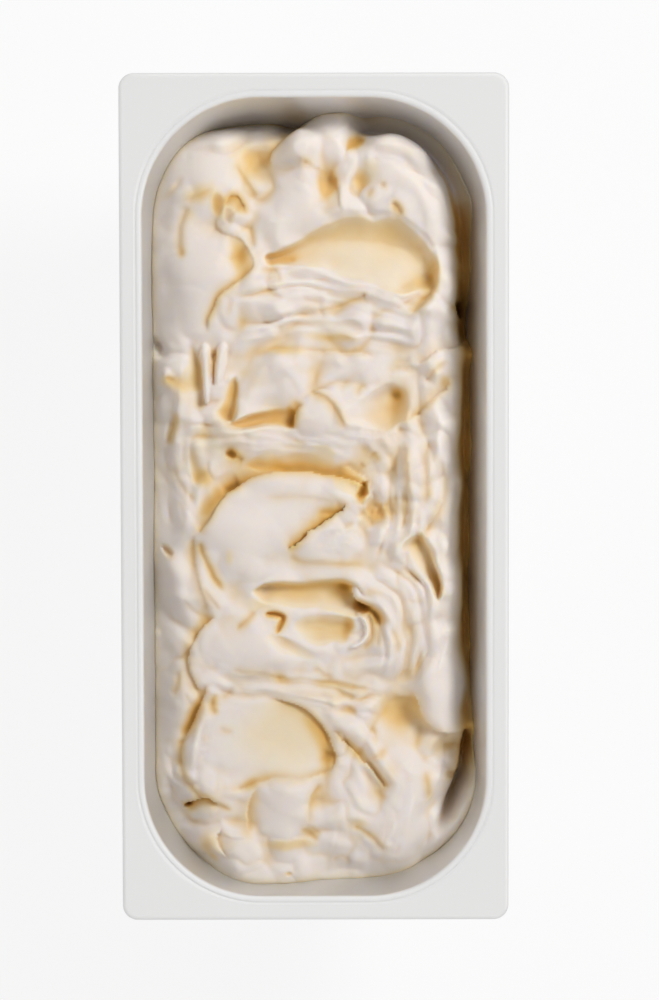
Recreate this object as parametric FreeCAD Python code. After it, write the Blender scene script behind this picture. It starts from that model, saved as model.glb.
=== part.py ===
"""Gelato pan: a deep-drawn stainless steel display pan, filled with folded gelato.

Frame: millimetres, +Z up, origin on the table at the middle of the pan's base. X runs
across the pan, Y along it. The pan is one drawn sheet: a flat rim with a turned-down
edge, a mouth with round corners, four drafted walls and a flat base. The gelato is one
mass that fills the pan up to its worked surface, whose folds are laid stroke by stroke.
"""

import FreeCAD, Part
import Mesh
import math
import os

# ---------------------------------------------------------------- the pan's own sizes
PAN_LENGTH = 360.0        # rim, outside, along Y
PAN_WIDTH = 165.0         # rim, outside, along X
PAN_HEIGHT = 120.0        # table to the top of the rim
SHEET = 0.8               # stainless sheet
RIM_CORNER_RADIUS = 6.5   # the rim's four corners, seen from above
RIM_EDGE_RADIUS = 2.0     # bend where the rim turns down
RIM_LIP_DEPTH = 5.0       # height of the turned-down edge
MOUTH_LENGTH = 339.0      # opening at the rim, along Y
MOUTH_WIDTH = 145.5       # opening at the rim, along X
MOUTH_CORNER_RADIUS = 50.0
MOUTH_BEND_RADIUS = 3.0   # bend from the rim down into the wall
WALL_DRAFT_DEG = 4.0      # each wall leans in by this, so that empty pans nest
BASE_EDGE_RADIUS = 12.0   # inside radius between wall and base

# ---------------------------------------------------------------- the gelato's own sizes
GELATO_CLEARANCE = 0.15   # between the gelato and the steel
FREEBOARD = 31.0          # from the rim down to the gelato where it meets the wall
CROWN_HEIGHT = 14.0       # how much higher the gelato stands away from the wall
CROWN_REACH = 7.0         # how far from the wall most of that rise is done
HEADROOM = 9.5            # nothing stands nearer to the rim's height than this
UNWORKED_DROP = 2.5       # the strokes are laid on gelato this much lower than the crown
WALL_BAND = 6.0           # the strokes fade out over this distance from the wall
GRID_STEP = 3.8           # spacing of the surface grid
CORNER_STEPS = 12         # rows of the grid in each round end
LAID_WIDTH, LAID_LENGTH = 141.2, 334.7  # surface for which the strokes' places are given
LIP_SLOPE = 3.0           # a fold's lip or a sheet's edge takes this far to come down
SHEET_END = 6.0           # a sheet runs out over this length
FOLD_END = 6.0            # and a fold
SCOOP_END = 8.0           # and a scraped hollow

DRAFT = math.tan(math.radians(WALL_DRAFT_DEG))


# ---------------------------------------------------------------- outlines and walls
def rounded_wire(width, length, radius, z):
    """Closed wire of a rectangle with round corners, centred on the origin."""
    x, y, r = width / 2, length / 2, radius
    points = [
        (x, -y + r), (x, y - r), (x - r, y), (-x + r, y),
        (-x, y - r), (-x, -y + r), (-x + r, -y), (x - r, -y),
    ]
    vectors = [FreeCAD.Vector(px, py, z) for px, py in points]
    centres = [(x - r, y - r), (-x + r, y - r), (-x + r, -y + r), (x - r, -y + r)]
    edges = []
    for i in range(4):
        a, b, c = vectors[2 * i], vectors[2 * i + 1], vectors[(2 * i + 2) % 8]
        cx, cy = centres[i]
        mid_angle = math.radians(45 + 90 * i)
        mid = FreeCAD.Vector(cx + r * math.cos(mid_angle), cy + r * math.sin(mid_angle), z)
        edges.append(Part.LineSegment(a, b).toShape())
        edges.append(Part.Arc(b, mid, c).toShape())
    return Part.Wire(edges)


def mouth_at(z, inset=0.0):
    """Width, length and corner radius of the wall's inner outline at height z."""
    shrink = (PAN_HEIGHT - z) * DRAFT + inset
    return MOUTH_WIDTH - 2 * shrink, MOUTH_LENGTH - 2 * shrink, MOUTH_CORNER_RADIUS - shrink


def drafted_block(z_low, z_high, inset):
    """Solid between two heights whose sides follow the wall's inner face."""
    width_low, length_low, radius_low = mouth_at(z_low, inset)
    width_high, length_high, radius_high = mouth_at(z_high, inset)
    x, y = width_low / 2 - radius_low, length_low / 2 - radius_low
    across = [
        (-width_low / 2, -y, z_low), (width_low / 2, -y, z_low),
        (width_high / 2, -y, z_high), (-width_high / 2, -y, z_high),
    ]
    along = [
        (-x, -length_low / 2, z_low), (-x, length_low / 2, z_low),
        (-x, length_high / 2, z_high), (-x, -length_high / 2, z_high),
    ]
    block = Part.Face(closed_wire(across)).extrude(FreeCAD.Vector(0, 2 * y, 0))
    pieces = [Part.Face(closed_wire(along)).extrude(FreeCAD.Vector(2 * x, 0, 0))]
    for cx, cy in ((x, y), (-x, y), (-x, -y), (x, -y)):
        foot = FreeCAD.Vector(cx, cy, z_low)
        pieces.append(Part.makeCone(radius_low, radius_high, z_high - z_low, foot))
    return block.fuse(pieces).removeSplitter()


def closed_wire(points):
    """Closed wire of straight lines."""
    return Part.makePolygon([FreeCAD.Vector(*p) for p in points + points[:1]])


def edges_at(shape, z):
    """Edges of a shape that lie wholly in the plane at height z."""
    return [
        e for e in shape.Edges
        if abs(e.BoundBox.ZMin - z) < 1e-6 and abs(e.BoundBox.ZMax - z) < 1e-6
    ]


def plate(width, length, radius, z, height):
    """Flat plate with round corners, from z upwards."""
    face = Part.Face(rounded_wire(width, length, radius, z))
    return face.extrude(FreeCAD.Vector(0, 0, height))


# ---------------------------------------------------------------- the steel pan
def make_pan():
    """One drawn sheet: rim, turned-down edge, mouth bend, walls and base."""
    under_rim = PAN_HEIGHT - SHEET

    body = drafted_block(0, PAN_HEIGHT, -SHEET)
    body = body.makeFillet(BASE_EDGE_RADIUS + SHEET, edges_at(body, 0))

    rim = plate(PAN_WIDTH, PAN_LENGTH, RIM_CORNER_RADIUS, PAN_HEIGHT - RIM_LIP_DEPTH, RIM_LIP_DEPTH)
    rim = rim.makeFillet(RIM_EDGE_RADIUS, edges_at(rim, PAN_HEIGHT))
    hollow = plate(
        PAN_WIDTH - 2 * SHEET, PAN_LENGTH - 2 * SHEET, RIM_CORNER_RADIUS - SHEET,
        PAN_HEIGHT - RIM_LIP_DEPTH - 1, RIM_LIP_DEPTH - SHEET + 1,
    )
    hollow = hollow.makeFillet(RIM_EDGE_RADIUS - SHEET, edges_at(hollow, under_rim))
    shell = body.fuse(rim.cut(hollow)).removeSplitter()
    shell = shell.makeFillet(MOUTH_BEND_RADIUS - SHEET, root_edges(shell, under_rim))

    cavity = drafted_block(SHEET, PAN_HEIGHT, 0)
    cavity = cavity.makeFillet(BASE_EDGE_RADIUS, edges_at(cavity, SHEET))
    pan = shell.cut(cavity)
    return pan.makeFillet(MOUTH_BEND_RADIUS, mouth_edges(pan))


def root_edges(shape, z):
    """Edges under the rim where the outside of the wall meets it."""
    width, length, _ = mouth_at(z, -SHEET)
    return [
        e for e in edges_at(shape, z)
        if e.BoundBox.XMax < width / 2 + 0.01 and e.BoundBox.YMax < length / 2 + 0.01
        and e.BoundBox.XMin > -width / 2 - 0.01 and e.BoundBox.YMin > -length / 2 - 0.01
    ]


def mouth_edges(shape):
    """Edges around the mouth in the rim's top face."""
    return [
        e for e in edges_at(shape, PAN_HEIGHT)
        if e.BoundBox.XMax < MOUTH_WIDTH / 2 + 0.01 and e.BoundBox.YMax < MOUTH_LENGTH / 2 + 0.01
    ]


# ---------------------------------------------------------------- strokes of the spatula
def clamp(value):
    """A value kept between 0 and 1."""
    return min(max(value, 0.0), 1.0)


def ease(value):
    """Smooth step from 0 to 1."""
    t = clamp(value)
    return t * t * (3 - 2 * t)


def smooth_path(points):
    """Points of a path with its corners cut three times, at this pan's own size."""
    across, along = surface_size()
    path = [(x * across / LAID_WIDTH, y * along / LAID_LENGTH) for x, y in points]
    for _ in range(3):
        cut = [path[0]]
        for (ax, ay), (bx, by) in zip(path, path[1:]):
            cut.append((0.75 * ax + 0.25 * bx, 0.75 * ay + 0.25 * by))
            cut.append((0.25 * ax + 0.75 * bx, 0.25 * ay + 0.75 * by))
        path = cut + [path[-1]]
    return path


def beside(path, x, y):
    """Distance left of a path (right is negative), distance run along it, and its length."""
    best, run = (1e18, 0.0, 0.0), 0.0
    for (ax, ay), (bx, by) in zip(path, path[1:]):
        dx, dy = bx - ax, by - ay
        length = math.hypot(dx, dy)
        t = clamp(((x - ax) * dx + (y - ay) * dy) / (length * length))
        gap = (x - ax - t * dx) ** 2 + (y - ay - t * dy) ** 2
        if gap < best[0]:
            side = 1 if dx * (y - ay) - dy * (x - ax) > 0 else -1
            best = (gap, side * math.sqrt(gap), run + t * length)
        run += length
    return best[1], best[2], run


def between(values, share):
    """Value at a share of the way through a list of evenly spaced values."""
    place = clamp(share) * (len(values) - 1)
    i = min(int(place), len(values) - 2)
    return values[i] + (place - i) * (values[i + 1] - values[i])


class Stroke:
    """One movement of the spatula along a path; each kind changes the height in its own way."""

    def __init__(self, points, reach):
        self.path = smooth_path(points)
        xs, ys = [p[0] for p in self.path], [p[1] for p in self.path]
        self.box = (min(xs) - reach, max(xs) + reach, min(ys) - reach, max(ys) + reach)

    def touches(self, x, y):
        return self.box[0] < x < self.box[1] and self.box[2] < y < self.box[3]


class Sheet(Stroke):
    """A broad ribbon laid down: heights at its left edge, middle and right edge."""

    def __init__(self, points, widths, left, middle, right, edges=(1, 1)):
        super().__init__(points, max(widths))
        self.widths, self.edges = widths, [max(edge, LIP_SLOPE) for edge in edges]
        self.left, self.middle, self.right = left, middle, right

    def work(self, x, y, height, base):
        s, run, length = beside(self.path, x, y)
        half = between(self.widths, run / length) / 2
        q = s / half
        if abs(q) >= 1:
            return height
        laid = base + self.middle + (self.left - self.right) / 2 * q
        laid += ((self.left + self.right) / 2 - self.middle) * q * q
        cover = ease((half - s) / self.edges[0]) * ease((half + s) / self.edges[1])
        cover *= ease(run / SHEET_END) * ease((length - run) / SHEET_END)
        return height + cover * (laid - height)


class Fold(Stroke):
    """A lip of gelato laid over what is to the right of its path."""

    def __init__(self, points, rise, drop, back=9.0, front=5.0):
        super().__init__(points, 3 * max(back, front))
        self.rise, self.drop, self.back, self.front = rise, drop, back, front

    def work(self, x, y, height, base):
        s, run, length = beside(self.path, x, y)
        fade = ease(run / FOLD_END) * ease((length - run) / FOLD_END)
        high = self.rise * math.exp(-max(s, 0) / self.back)
        low = -self.drop * math.exp(min(s, 0) / self.front)
        over = ease(0.5 + s / (2 * LIP_SLOPE))
        return height + fade * (over * high + (1 - over) * low)


class Scoop(Stroke):
    """A hollow scraped by the spatula, deepest at a share of its half width off the middle."""

    def __init__(self, points, widths, depth, rim=1.0, skew=0.0):
        super().__init__(points, max(widths))
        self.widths, self.depth, self.rim, self.skew = widths, depth, rim, skew

    def work(self, x, y, height, base):
        s, run, length = beside(self.path, x, y)
        q = 2 * s / between(self.widths, run / length) - self.skew
        q /= 1 - self.skew if q > 0 else 1 + self.skew
        ends = max(0, 1 - run / SCOOP_END) ** 2 + max(0, 1 - (length - run) / SCOOP_END) ** 2
        full = 1 - q * q - ends
        return min(height, base + self.rim - (self.depth + self.rim) * full)


class Dome(Stroke):
    """A rounded lump laid on top, with its foot on an ellipse."""

    def __init__(self, x, y, half_x, half_y, top, foot=-3.0):
        super().__init__([(x, y)], max(half_x, half_y))
        self.half_x, self.half_y, self.top, self.foot = half_x, half_y, top, foot

    def work(self, x, y, height, base):
        cx, cy = self.path[0]
        r2 = ((x - cx) / self.half_x) ** 2 + ((y - cy) / self.half_y) ** 2
        if r2 >= 1:
            return height
        return max(height, base + self.foot + (self.top - self.foot) * math.sqrt(1 - r2))


def far_end_strokes():
    """The lumps and lobes of the far end, and the big hollow scraped across below them."""
    return [
        Sheet([(-66, 120), (-46, 149), (-26, 153)], (18, 22, 16), -4, 1.8, -1),
        Sheet([(-24, 158), (-27, 147), (-24, 133)], (16, 16, 9), -2.5, -4, 1),
        Sheet([(17, 151), (34, 153), (60, 130)], (12, 14, 10), -5, 2.4, -2),
        Sheet([(15, 125), (38, 135), (61, 118)], (18, 20, 14), -1.5, 2.6, 1.5),
        Dome(-8, 130, 15, 13.5, 3.8),
        Sheet([(5, 142), (8, 133), (6, 122)], (9, 11, 9), -4.8, -3, 1.5),
        Dome(-54, 96, 18.5, 25, 3.8, -4),
        Fold([(-3, 163), (-20, 148), (-17, 138)], 2, 9, 7, 5.5),
        Dome(4.5, 156.5, 9.5, 8, 8),
        Fold([(-43, 120), (-26, 106), (-27, 97), (-46, 82), (-46, 70)], 2.4, 6, 4.5, 5),
        Sheet([(60, 126), (61, 108), (60, 90)], (17, 16, 16), -7, 0, 2.4, (4, 3)),
        Scoop([(-21, 102.5), (10, 106), (44, 97)], (9, 31, 34), 8, 2.2, 0.34),
    ]


def middle_strokes():
    """Ribbons across the middle, the ball, and the disc that bulges out of a long valley."""
    return [
        Sheet([(-40, 82), (-11, 89), (44, 76)], (18, 24, 14), 2.2, 0, -1.5, (3, 4)),
        Sheet([(-40, 66), (5, 71), (46, 67)], (12, 13, 10), -1.5, 0.6, -1.5),
        Sheet([(-30, 54), (2, 56), (32, 54)], (18, 20, 12), 0.2, 1.8, -1),
        Sheet([(72, 56), (58, 57), (34, 47)], (22, 20, 10), -1.5, 1.8, 1.5),
        Fold([(71, 71), (58, 64), (42, 56)], 1.5, 4.4, 7, 6),
        Sheet([(-57, 68), (-56, 54), (-56, 40)], (14, 16, 14), -3.5, -4.5, 0.5),
        Scoop([(-35.5, 56), (-39, 33)], (6, 9), 4.6, 0.8, 0.25),
        Dome(1.5, 36.5, 11.5, 9, 5.4, -4),
        Scoop([(20, 40), (42, 39.5)], (16, 17), 6.5, 1.4),
        Sheet([(-56, 22), (-10, 21), (13, 18)], (12, 13, 8), 0, 1.2, -2),
        Sheet([(61, 40), (61, 5), (58, -20)], (18, 18, 18), -4, 1.2, 0),
        Dome(-20, -12.5, 31.5, 24, 5),
        Scoop([(-24, 17), (0, 16), (19, 7)], (9, 15, 12), 6, 0.6, -0.35),
        Fold([(27, 1.5), (-10, 13), (-35, 6), (-50, -17)], 2.4, 6.5, 8, 6.5),
        Fold([(14, -3.5), (-10, -22)], 2.2, 6, 9, 4.2),
        Sheet([(30, 27), (40, 4), (37, -24)], (22, 21, 16), -0.5, 1.2, -1.5),
        Fold([(52, 22), (56, 6), (51, -14)], 1.3, 1.6, 4, 2.4),
    ]


def near_end_strokes():
    """Two hollows of one stroke, the flat face left by the spatula, and the near end's lobes."""
    return [
        Sheet([(-62, -22), (-60, -44), (-52, -60)], (14, 15, 11), 0.6, 1.2, -2.5),
        Scoop([(-25, -42.5), (17, -44.5)], (11, 17), 6.5, 1.2, 0.3),
        Scoop([(-6, -56), (17, -57.5)], (13, 14), 6.8, 0.2),
        Sheet([(14, -34), (33, -50), (25, -71), (6, -75)], (12, 17, 14, 10), 1.4, 0.8, -1),
        Sheet([(46, -10), (58, -45), (46, -86)], (20, 24, 17), -2.5, 2.4, 0),
        Scoop([(43, -17), (46, -26), (52, -44)], (10, 8, 4), 4.6, 0.6, 0.45),
        Sheet([(-50, -64), (-20, -67), (9, -77)], (16, 17, 10), 2, 1.4, -2),
        Fold([(-41, -53), (-56, -68), (-50, -87)], 1.9, 3.6, 4, 3.2),
        Scoop([(-44, -104), (0, -107)], (31, 30), 2.4, 2.2),
        Fold([(-22, -86), (6, -100), (8, -121)], 1.2, 3, 5, 5),
        Fold([(-48, -82), (-57, -103.5)], 1.6, 6.5, 3, 2.6),
        Sheet([(2, -90), (20, -108), (35, -127)], (14, 17, 12), 2.2, 1.8, -2),
        Scoop([(38, -80), (39, -99)], (10, 17), 4.6, 0.8),
        Sheet([(58, -72), (59, -90), (61, -107)], (22, 24, 15), -2.5, 3.8, 2.4),
        Fold([(40, -82), (50, -101), (68, -103.5)], 2.4, 7, 8, 7.5),
        Fold([(-57, -134), (-48, -131), (-35, -136)], 1.6, 5.5, 4, 3.4),
        Sheet([(63, -106), (59, -128), (40, -150)], (16, 18, 16), -6, -0.5, -0.5),
        Scoop([(-46, -133), (-48, -158)], (9, 10), 5.6, 0.8),
        Scoop([(-26, -126), (-35, -138), (-29, -149)], (5, 10, 4), 4.6, 0.6, 0.25),
        Sheet([(10, -121), (9, -136), (12, -151)], (16, 20, 18), 0, 2.6, 0),
        Sheet([(-40, -141), (-10, -159), (34, -153)], (10, 15, 13), 1.8, 2.2, -4),
    ]


# ---------------------------------------------------------------- the gelato's surface
def surface_size():
    """Width and length of the gelato where it meets the wall."""
    width, length, _ = mouth_at(PAN_HEIGHT - FREEBOARD)
    return width, length


def wall_distance(x, y):
    """How far a point is inside the wall's outline at the gelato's edge."""
    width, length, radius = mouth_at(PAN_HEIGHT - FREEBOARD)
    dx, dy = abs(x) - (width / 2 - radius), abs(y) - (length / 2 - radius)
    outside = math.hypot(max(dx, 0), max(dy, 0))
    return radius - outside - min(max(dx, dy), 0)


def surface(x, y, laid):
    """Height of the gelato above the table at a point."""
    inside = wall_distance(x, y)
    level = PAN_HEIGHT - FREEBOARD
    base = level + CROWN_HEIGHT * (1 - math.exp(-inside / CROWN_REACH))
    height = base - UNWORKED_DROP
    for stroke in laid:
        if stroke.touches(x, y):
            height = stroke.work(x, y, height, base)
    height = base + ease(inside / WALL_BAND) * (height - base)
    return min(height, PAN_HEIGHT - HEADROOM)


# ---------------------------------------------------------------- the gelato's solid
def half_span(y, width, length, radius):
    """Half the width of a rounded outline at a distance along it."""
    past = max(abs(y) - (length / 2 - radius), 0)
    return width / 2 - radius + math.sqrt(max(radius * radius - past * past, 0))


def row_shares():
    """Places of the grid's rows: evenly along the straight walls, by angle in the round ends."""
    width, length, radius = mouth_at(PAN_HEIGHT - FREEBOARD, GELATO_CLEARANCE)
    straight = length / 2 - radius
    count = max(1, round(2 * straight / GRID_STEP))
    middle = [straight * (2 * i / count - 1) for i in range(count + 1)]
    turns = [math.pi / 2 * i / CORNER_STEPS for i in range(1, CORNER_STEPS + 1)]
    end = [straight + radius * math.sin(a) for a in turns]
    rows = [-y for y in reversed(end)] + middle + end
    return [y / (length / 2) for y in rows]


def make_gelato():
    """One closed mass: the worked top on a grid, and rings down the wall to the base."""
    laid = far_end_strokes() + middle_strokes() + near_end_strokes()
    level = PAN_HEIGHT - FREEBOARD
    rows = row_shares()
    columns = max(2, round(MOUTH_WIDTH / GRID_STEP))

    def place(v, u, z, inset=0.0):
        """Point on the outline's own grid at a height; u and v run from -1 to 1."""
        width, length, radius = mouth_at(z, inset + GELATO_CLEARANCE)
        y = v * length / 2
        return FreeCAD.Vector(u * half_span(y, width, length, radius), y, z)

    def top_point(v, u):
        flat = place(v, u, level)
        return place(v, u, surface(flat.x, flat.y, laid))

    shares = [2 * i / columns - 1 for i in range(columns + 1)]
    grid = [[top_point(v, u) for u in shares] for v in rows]
    triangles = []
    for near, far in zip(grid, grid[1:]):
        for i in range(columns):
            a, b, c, d = near[i], near[i + 1], far[i + 1], far[i]
            triangles += [(a, b, c), (a, c, d)]

    border = [(rows[0], u) for u in shares]
    border += [(v, 1.0) for v in rows[1:]]
    border += [(rows[-1], u) for u in reversed(shares[:-1])]
    border += [(v, -1.0) for v in reversed(rows[1:-1])]
    ring = grid[0][:] + [row[-1] for row in grid[1:]]
    ring += list(reversed(grid[-1][:-1])) + [row[0] for row in reversed(grid[1:-1])]
    for z, inset in lower_rings():
        lower = [place(v, u, z, inset) for v, u in border]
        triangles += band(ring, lower)
        ring = lower
    middle = FreeCAD.Vector(0, 0, ring[0].z)
    for a, b in zip(ring, ring[1:] + ring[:1]):
        triangles.append((middle, b, a))
    return solid_of(triangles)


def lower_rings():
    """Heights and insets of the rings below the surface, round the base's inner edge."""
    floor = SHEET + GELATO_CLEARANCE
    radius = BASE_EDGE_RADIUS
    rings = [(floor + radius, 0.0)]
    for angle_deg in (30, 60, 90):
        angle = math.radians(angle_deg)
        rings.append((floor + radius * (1 - math.sin(angle)), radius * (1 - math.cos(angle))))
    return rings


def band(upper, lower):
    """Triangles between two rings with as many points, seen from outside."""
    made = []
    count = len(upper)
    for i in range(count):
        j = (i + 1) % count
        made += [(upper[i], lower[i], lower[j]), (upper[i], lower[j], upper[j])]
    return made


def solid_of(triangles):
    """Closed solid with one flat face for each triangle."""
    mesh = Mesh.Mesh([corner for triangle in triangles for corner in triangle])
    shape = Part.Shape()
    shape.makeShapeFromMesh(mesh.Topology, 0.001)
    solid = Part.Solid(Part.Shell(shape.Faces))
    if solid.Volume < 0:
        solid.reverse()
    return solid


os.makedirs("parts", exist_ok=True)
pan = make_pan()
print("pan", pan.isValid(), len(pan.Solids), round(pan.Volume), pan.BoundBox)
pan.exportStep("parts/pan.step")
gelato = make_gelato()
print("gelato", gelato.isValid(), len(gelato.Solids), len(gelato.Faces), round(gelato.Volume), gelato.BoundBox)
gelato.exportStep("parts/gelato.step")
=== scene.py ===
"""Gelato pan: a drawn steel display pan, filled with vanilla gelato that a spatula has folded.

Lengths are in millimetres unless a name says otherwise. +X runs across the pan, +Y along it
and +Z up out of its mouth. Each section makes one piece and its finish.
"""

import math

import bpy
import numpy as np
from mathutils import Matrix, Vector


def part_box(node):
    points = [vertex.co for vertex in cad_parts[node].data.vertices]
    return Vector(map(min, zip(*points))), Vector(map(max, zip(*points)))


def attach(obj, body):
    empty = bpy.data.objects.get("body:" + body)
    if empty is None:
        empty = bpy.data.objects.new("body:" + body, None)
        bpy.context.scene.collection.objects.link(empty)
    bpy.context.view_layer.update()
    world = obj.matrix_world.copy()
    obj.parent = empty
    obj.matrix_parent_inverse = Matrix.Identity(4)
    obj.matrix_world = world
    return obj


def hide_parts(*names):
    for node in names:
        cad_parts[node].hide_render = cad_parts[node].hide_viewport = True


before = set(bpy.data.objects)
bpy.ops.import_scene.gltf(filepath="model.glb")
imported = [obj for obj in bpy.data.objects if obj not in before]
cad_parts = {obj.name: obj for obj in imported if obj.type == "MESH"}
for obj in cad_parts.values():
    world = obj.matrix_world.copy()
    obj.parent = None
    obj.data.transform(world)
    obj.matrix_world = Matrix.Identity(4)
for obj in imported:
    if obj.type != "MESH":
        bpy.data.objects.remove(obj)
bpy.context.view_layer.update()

# ------------------------------------------------------------------ the steel pan
# One sheet of stainless steel, drawn to a deep tub with round corners: flat base, walls that
# lean out a little, a bend at the mouth, a flat rim and an edge that is turned down round it.
# It is polished to a fine satin, and stands on its flat base.

MM = 0.001
pan_low, pan_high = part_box("pan")
PAN_WIDTH = (pan_high[0] - pan_low[0]) / MM
PAN_LENGTH = (pan_high[1] - pan_low[1]) / MM
PAN_HEIGHT = pan_high[2] / MM
SHEET = 0.8
RIM_CORNER = 6.5
RIM_BEND = 2.0
RIM_LIP = 5.0
SIDE_RIMS, END_RIMS = 19.5, 21.0  # both rims together, across the pan and along it
MOUTH_WIDTH = PAN_WIDTH - SIDE_RIMS
MOUTH_LENGTH = PAN_LENGTH - END_RIMS
MOUTH_CORNER = 50.0
MOUTH_BEND = 1.8
RIM_GROOVE = 0.5
GROOVE_STEPS = ((0.5, 0.0), (0.9, RIM_GROOVE), (1.3, RIM_GROOVE), (1.7, 0.0))  # outward, down
FLAT_SHARES = (0.06, 0.2, 0.5, 0.8, 0.96)  # where the flat rim has its rings
EDGE_BREAK, EDGE_RISE = 0.15, 0.2  # the sheet's cut edge is a little rounded
WALL_DRAFT = math.tan(math.radians(4.0))
BASE_BEND = 12.0
CORNER_STEPS = 28
SIDE_STEPS = (8, 24)  # along a short side and along a long one
BEND_STEPS, HIDDEN_STEPS = 8, 4
WALL_RINGS = 14
STEEL_COLOUR = (0.765, 0.763, 0.758)


def mouth_at(height):
    """Width, length and corner radius of the wall's inner face at a height above the table."""
    shrink = (PAN_HEIGHT - height) * WALL_DRAFT
    return MOUTH_WIDTH - 2 * shrink, MOUTH_LENGTH - 2 * shrink, MOUTH_CORNER - shrink


def outline(width, length, radius):
    """Points round a rectangle with round corners: the same number whatever its size."""
    points = []
    x, y = width / 2 - radius, length / 2 - radius
    for turn, (cx, cy) in enumerate(((x, y), (-x, y), (-x, -y), (x, -y))):
        for step in range(CORNER_STEPS + 1):
            a = math.pi / 2 * (turn + step / CORNER_STEPS)
            points.append((cx + radius * math.cos(a), cy + radius * math.sin(a)))
        side = SIDE_STEPS[turn % 2]
        nx, ny = ((-x, y), (-x, -y), (x, -y), (x, y))[turn]
        a = math.pi / 2 * (turn + 1)
        start = points[-1]
        end = (nx + radius * math.cos(a), ny + radius * math.sin(a))
        for step in range(1, side):
            t = step / side
            points.append((start[0] + t * (end[0] - start[0]), start[1] + t * (end[1] - start[1])))
    return points


def wall_ring(height, inset):
    """Outline that follows the drafted wall at a height, moved in by inset."""
    width, length, radius = mouth_at(height)
    return width - 2 * inset, length - 2 * inset, radius - inset, height


def rim_ring(height, inset):
    """Outline of the rim's outside, moved in by inset."""
    return PAN_WIDTH - 2 * inset, PAN_LENGTH - 2 * inset, max(RIM_CORNER - inset, 0.3), height


def quarter(steps):
    """Angles from 0 to a right angle."""
    return [math.pi / 2 * i / steps for i in range(steps + 1)]


def pan_rings():
    """Outlines from the middle of the inside, up over the rim, and down to the middle of the base."""
    rings = []
    for angle in reversed(quarter(BEND_STEPS)):
        lift = BASE_BEND * (1 - math.sin(angle))
        rings.append(wall_ring(SHEET + lift, BASE_BEND * (1 - math.cos(angle))))
    for height in np.linspace(SHEET + BASE_BEND, PAN_HEIGHT - MOUTH_BEND, WALL_RINGS)[1:]:
        rings.append(wall_ring(height, 0.0))
    for angle in quarter(BEND_STEPS)[1:]:
        out = MOUTH_BEND * (1 - math.cos(angle))
        rings.append(wall_ring(PAN_HEIGHT - MOUTH_BEND * (1 - math.sin(angle)), -out))
    for out, drop in GROOVE_STEPS:
        rings.append(wall_ring(PAN_HEIGHT, -MOUTH_BEND - out)[:3] + (PAN_HEIGHT - drop,))
    groove, rim = rings[-1], rim_ring(PAN_HEIGHT, RIM_BEND)
    for share in FLAT_SHARES:
        rings.append(tuple(a + share * (b - a) for a, b in zip(groove, rim)))
    for angle in quarter(BEND_STEPS):
        drop = RIM_BEND * (1 - math.cos(angle))
        rings.append(rim_ring(PAN_HEIGHT - drop, RIM_BEND * (1 - math.sin(angle))))
    lip_foot = PAN_HEIGHT - RIM_LIP
    rings += [rim_ring(lip_foot + EDGE_RISE, 0.0), rim_ring(lip_foot, EDGE_BREAK)]
    rings += [rim_ring(lip_foot, SHEET - EDGE_BREAK), rim_ring(lip_foot + EDGE_RISE, SHEET)]
    inner = RIM_BEND - SHEET
    for angle in reversed(quarter(HIDDEN_STEPS)):
        drop = SHEET + inner * (1 - math.cos(angle))
        rings.append(rim_ring(PAN_HEIGHT - drop, SHEET + inner * (1 - math.sin(angle))))
    root = MOUTH_BEND - SHEET
    under = PAN_HEIGHT - SHEET
    for angle in reversed(quarter(HIDDEN_STEPS)):
        out = root * (1 - math.cos(angle))
        rings.append(wall_ring(under - root * (1 - math.sin(angle)), -SHEET - out))
    for height in np.linspace(PAN_HEIGHT - MOUTH_BEND, BASE_BEND, WALL_RINGS)[1:]:
        rings.append(wall_ring(height, -SHEET))
    outer = BASE_BEND + SHEET
    for angle in quarter(BEND_STEPS)[1:]:
        inset = outer * (1 - math.cos(angle)) - SHEET
        rings.append(wall_ring(outer * (1 - math.sin(angle)), inset))
    return rings


def ring_mesh(name, rings):
    """Closed mesh over outlines in order, with a flat fan over the first and the last."""
    points, faces = [], []
    for width, length, radius, height in rings:
        points += [(x * MM, y * MM, height * MM) for x, y in outline(width, length, radius)]
    count = len(points) // len(rings)
    for ring in range(len(rings) - 1):
        for i in range(count):
            j = (i + 1) % count
            a, b = ring * count, (ring + 1) * count
            faces.append((a + i, b + i, b + j, a + j))
    last = len(points) - count
    faces.append(tuple(range(count)))
    faces.append(tuple(reversed(range(last, last + count))))
    mesh = bpy.data.meshes.new(name)
    mesh.from_pydata(points, [], faces)
    mesh.polygons.foreach_set("use_smooth", [len(f) == 4 for f in faces])
    mesh.update()
    made = bpy.data.objects.new(name, mesh)
    bpy.context.collection.objects.link(made)
    return made


def feed(node, *values, **settings):
    """Give a node its settings and its inputs, in order or by name; a socket is joined to its input."""
    for key, value in settings.items():
        if key not in node.inputs:
            setattr(node, key, value)
    named = [(node.inputs[key], value) for key, value in settings.items() if key in node.inputs]
    for socket, value in [*zip(node.inputs, values), *named]:
        if isinstance(value, bpy.types.NodeSocket):
            node.id_data.links.new(value, socket)
        else:
            socket.default_value = value
    return node


def add(tree, kind, *values, **settings):
    """New node in a tree, with its inputs and settings."""
    return feed(tree.nodes.new("ShaderNode" + kind), *values, **settings)


def new_material(name):
    """Material with its nodes and its Principled shader."""
    material = bpy.data.materials.new(name)
    material.use_nodes = True
    return material, material.node_tree, material.node_tree.nodes["Principled BSDF"]


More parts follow.
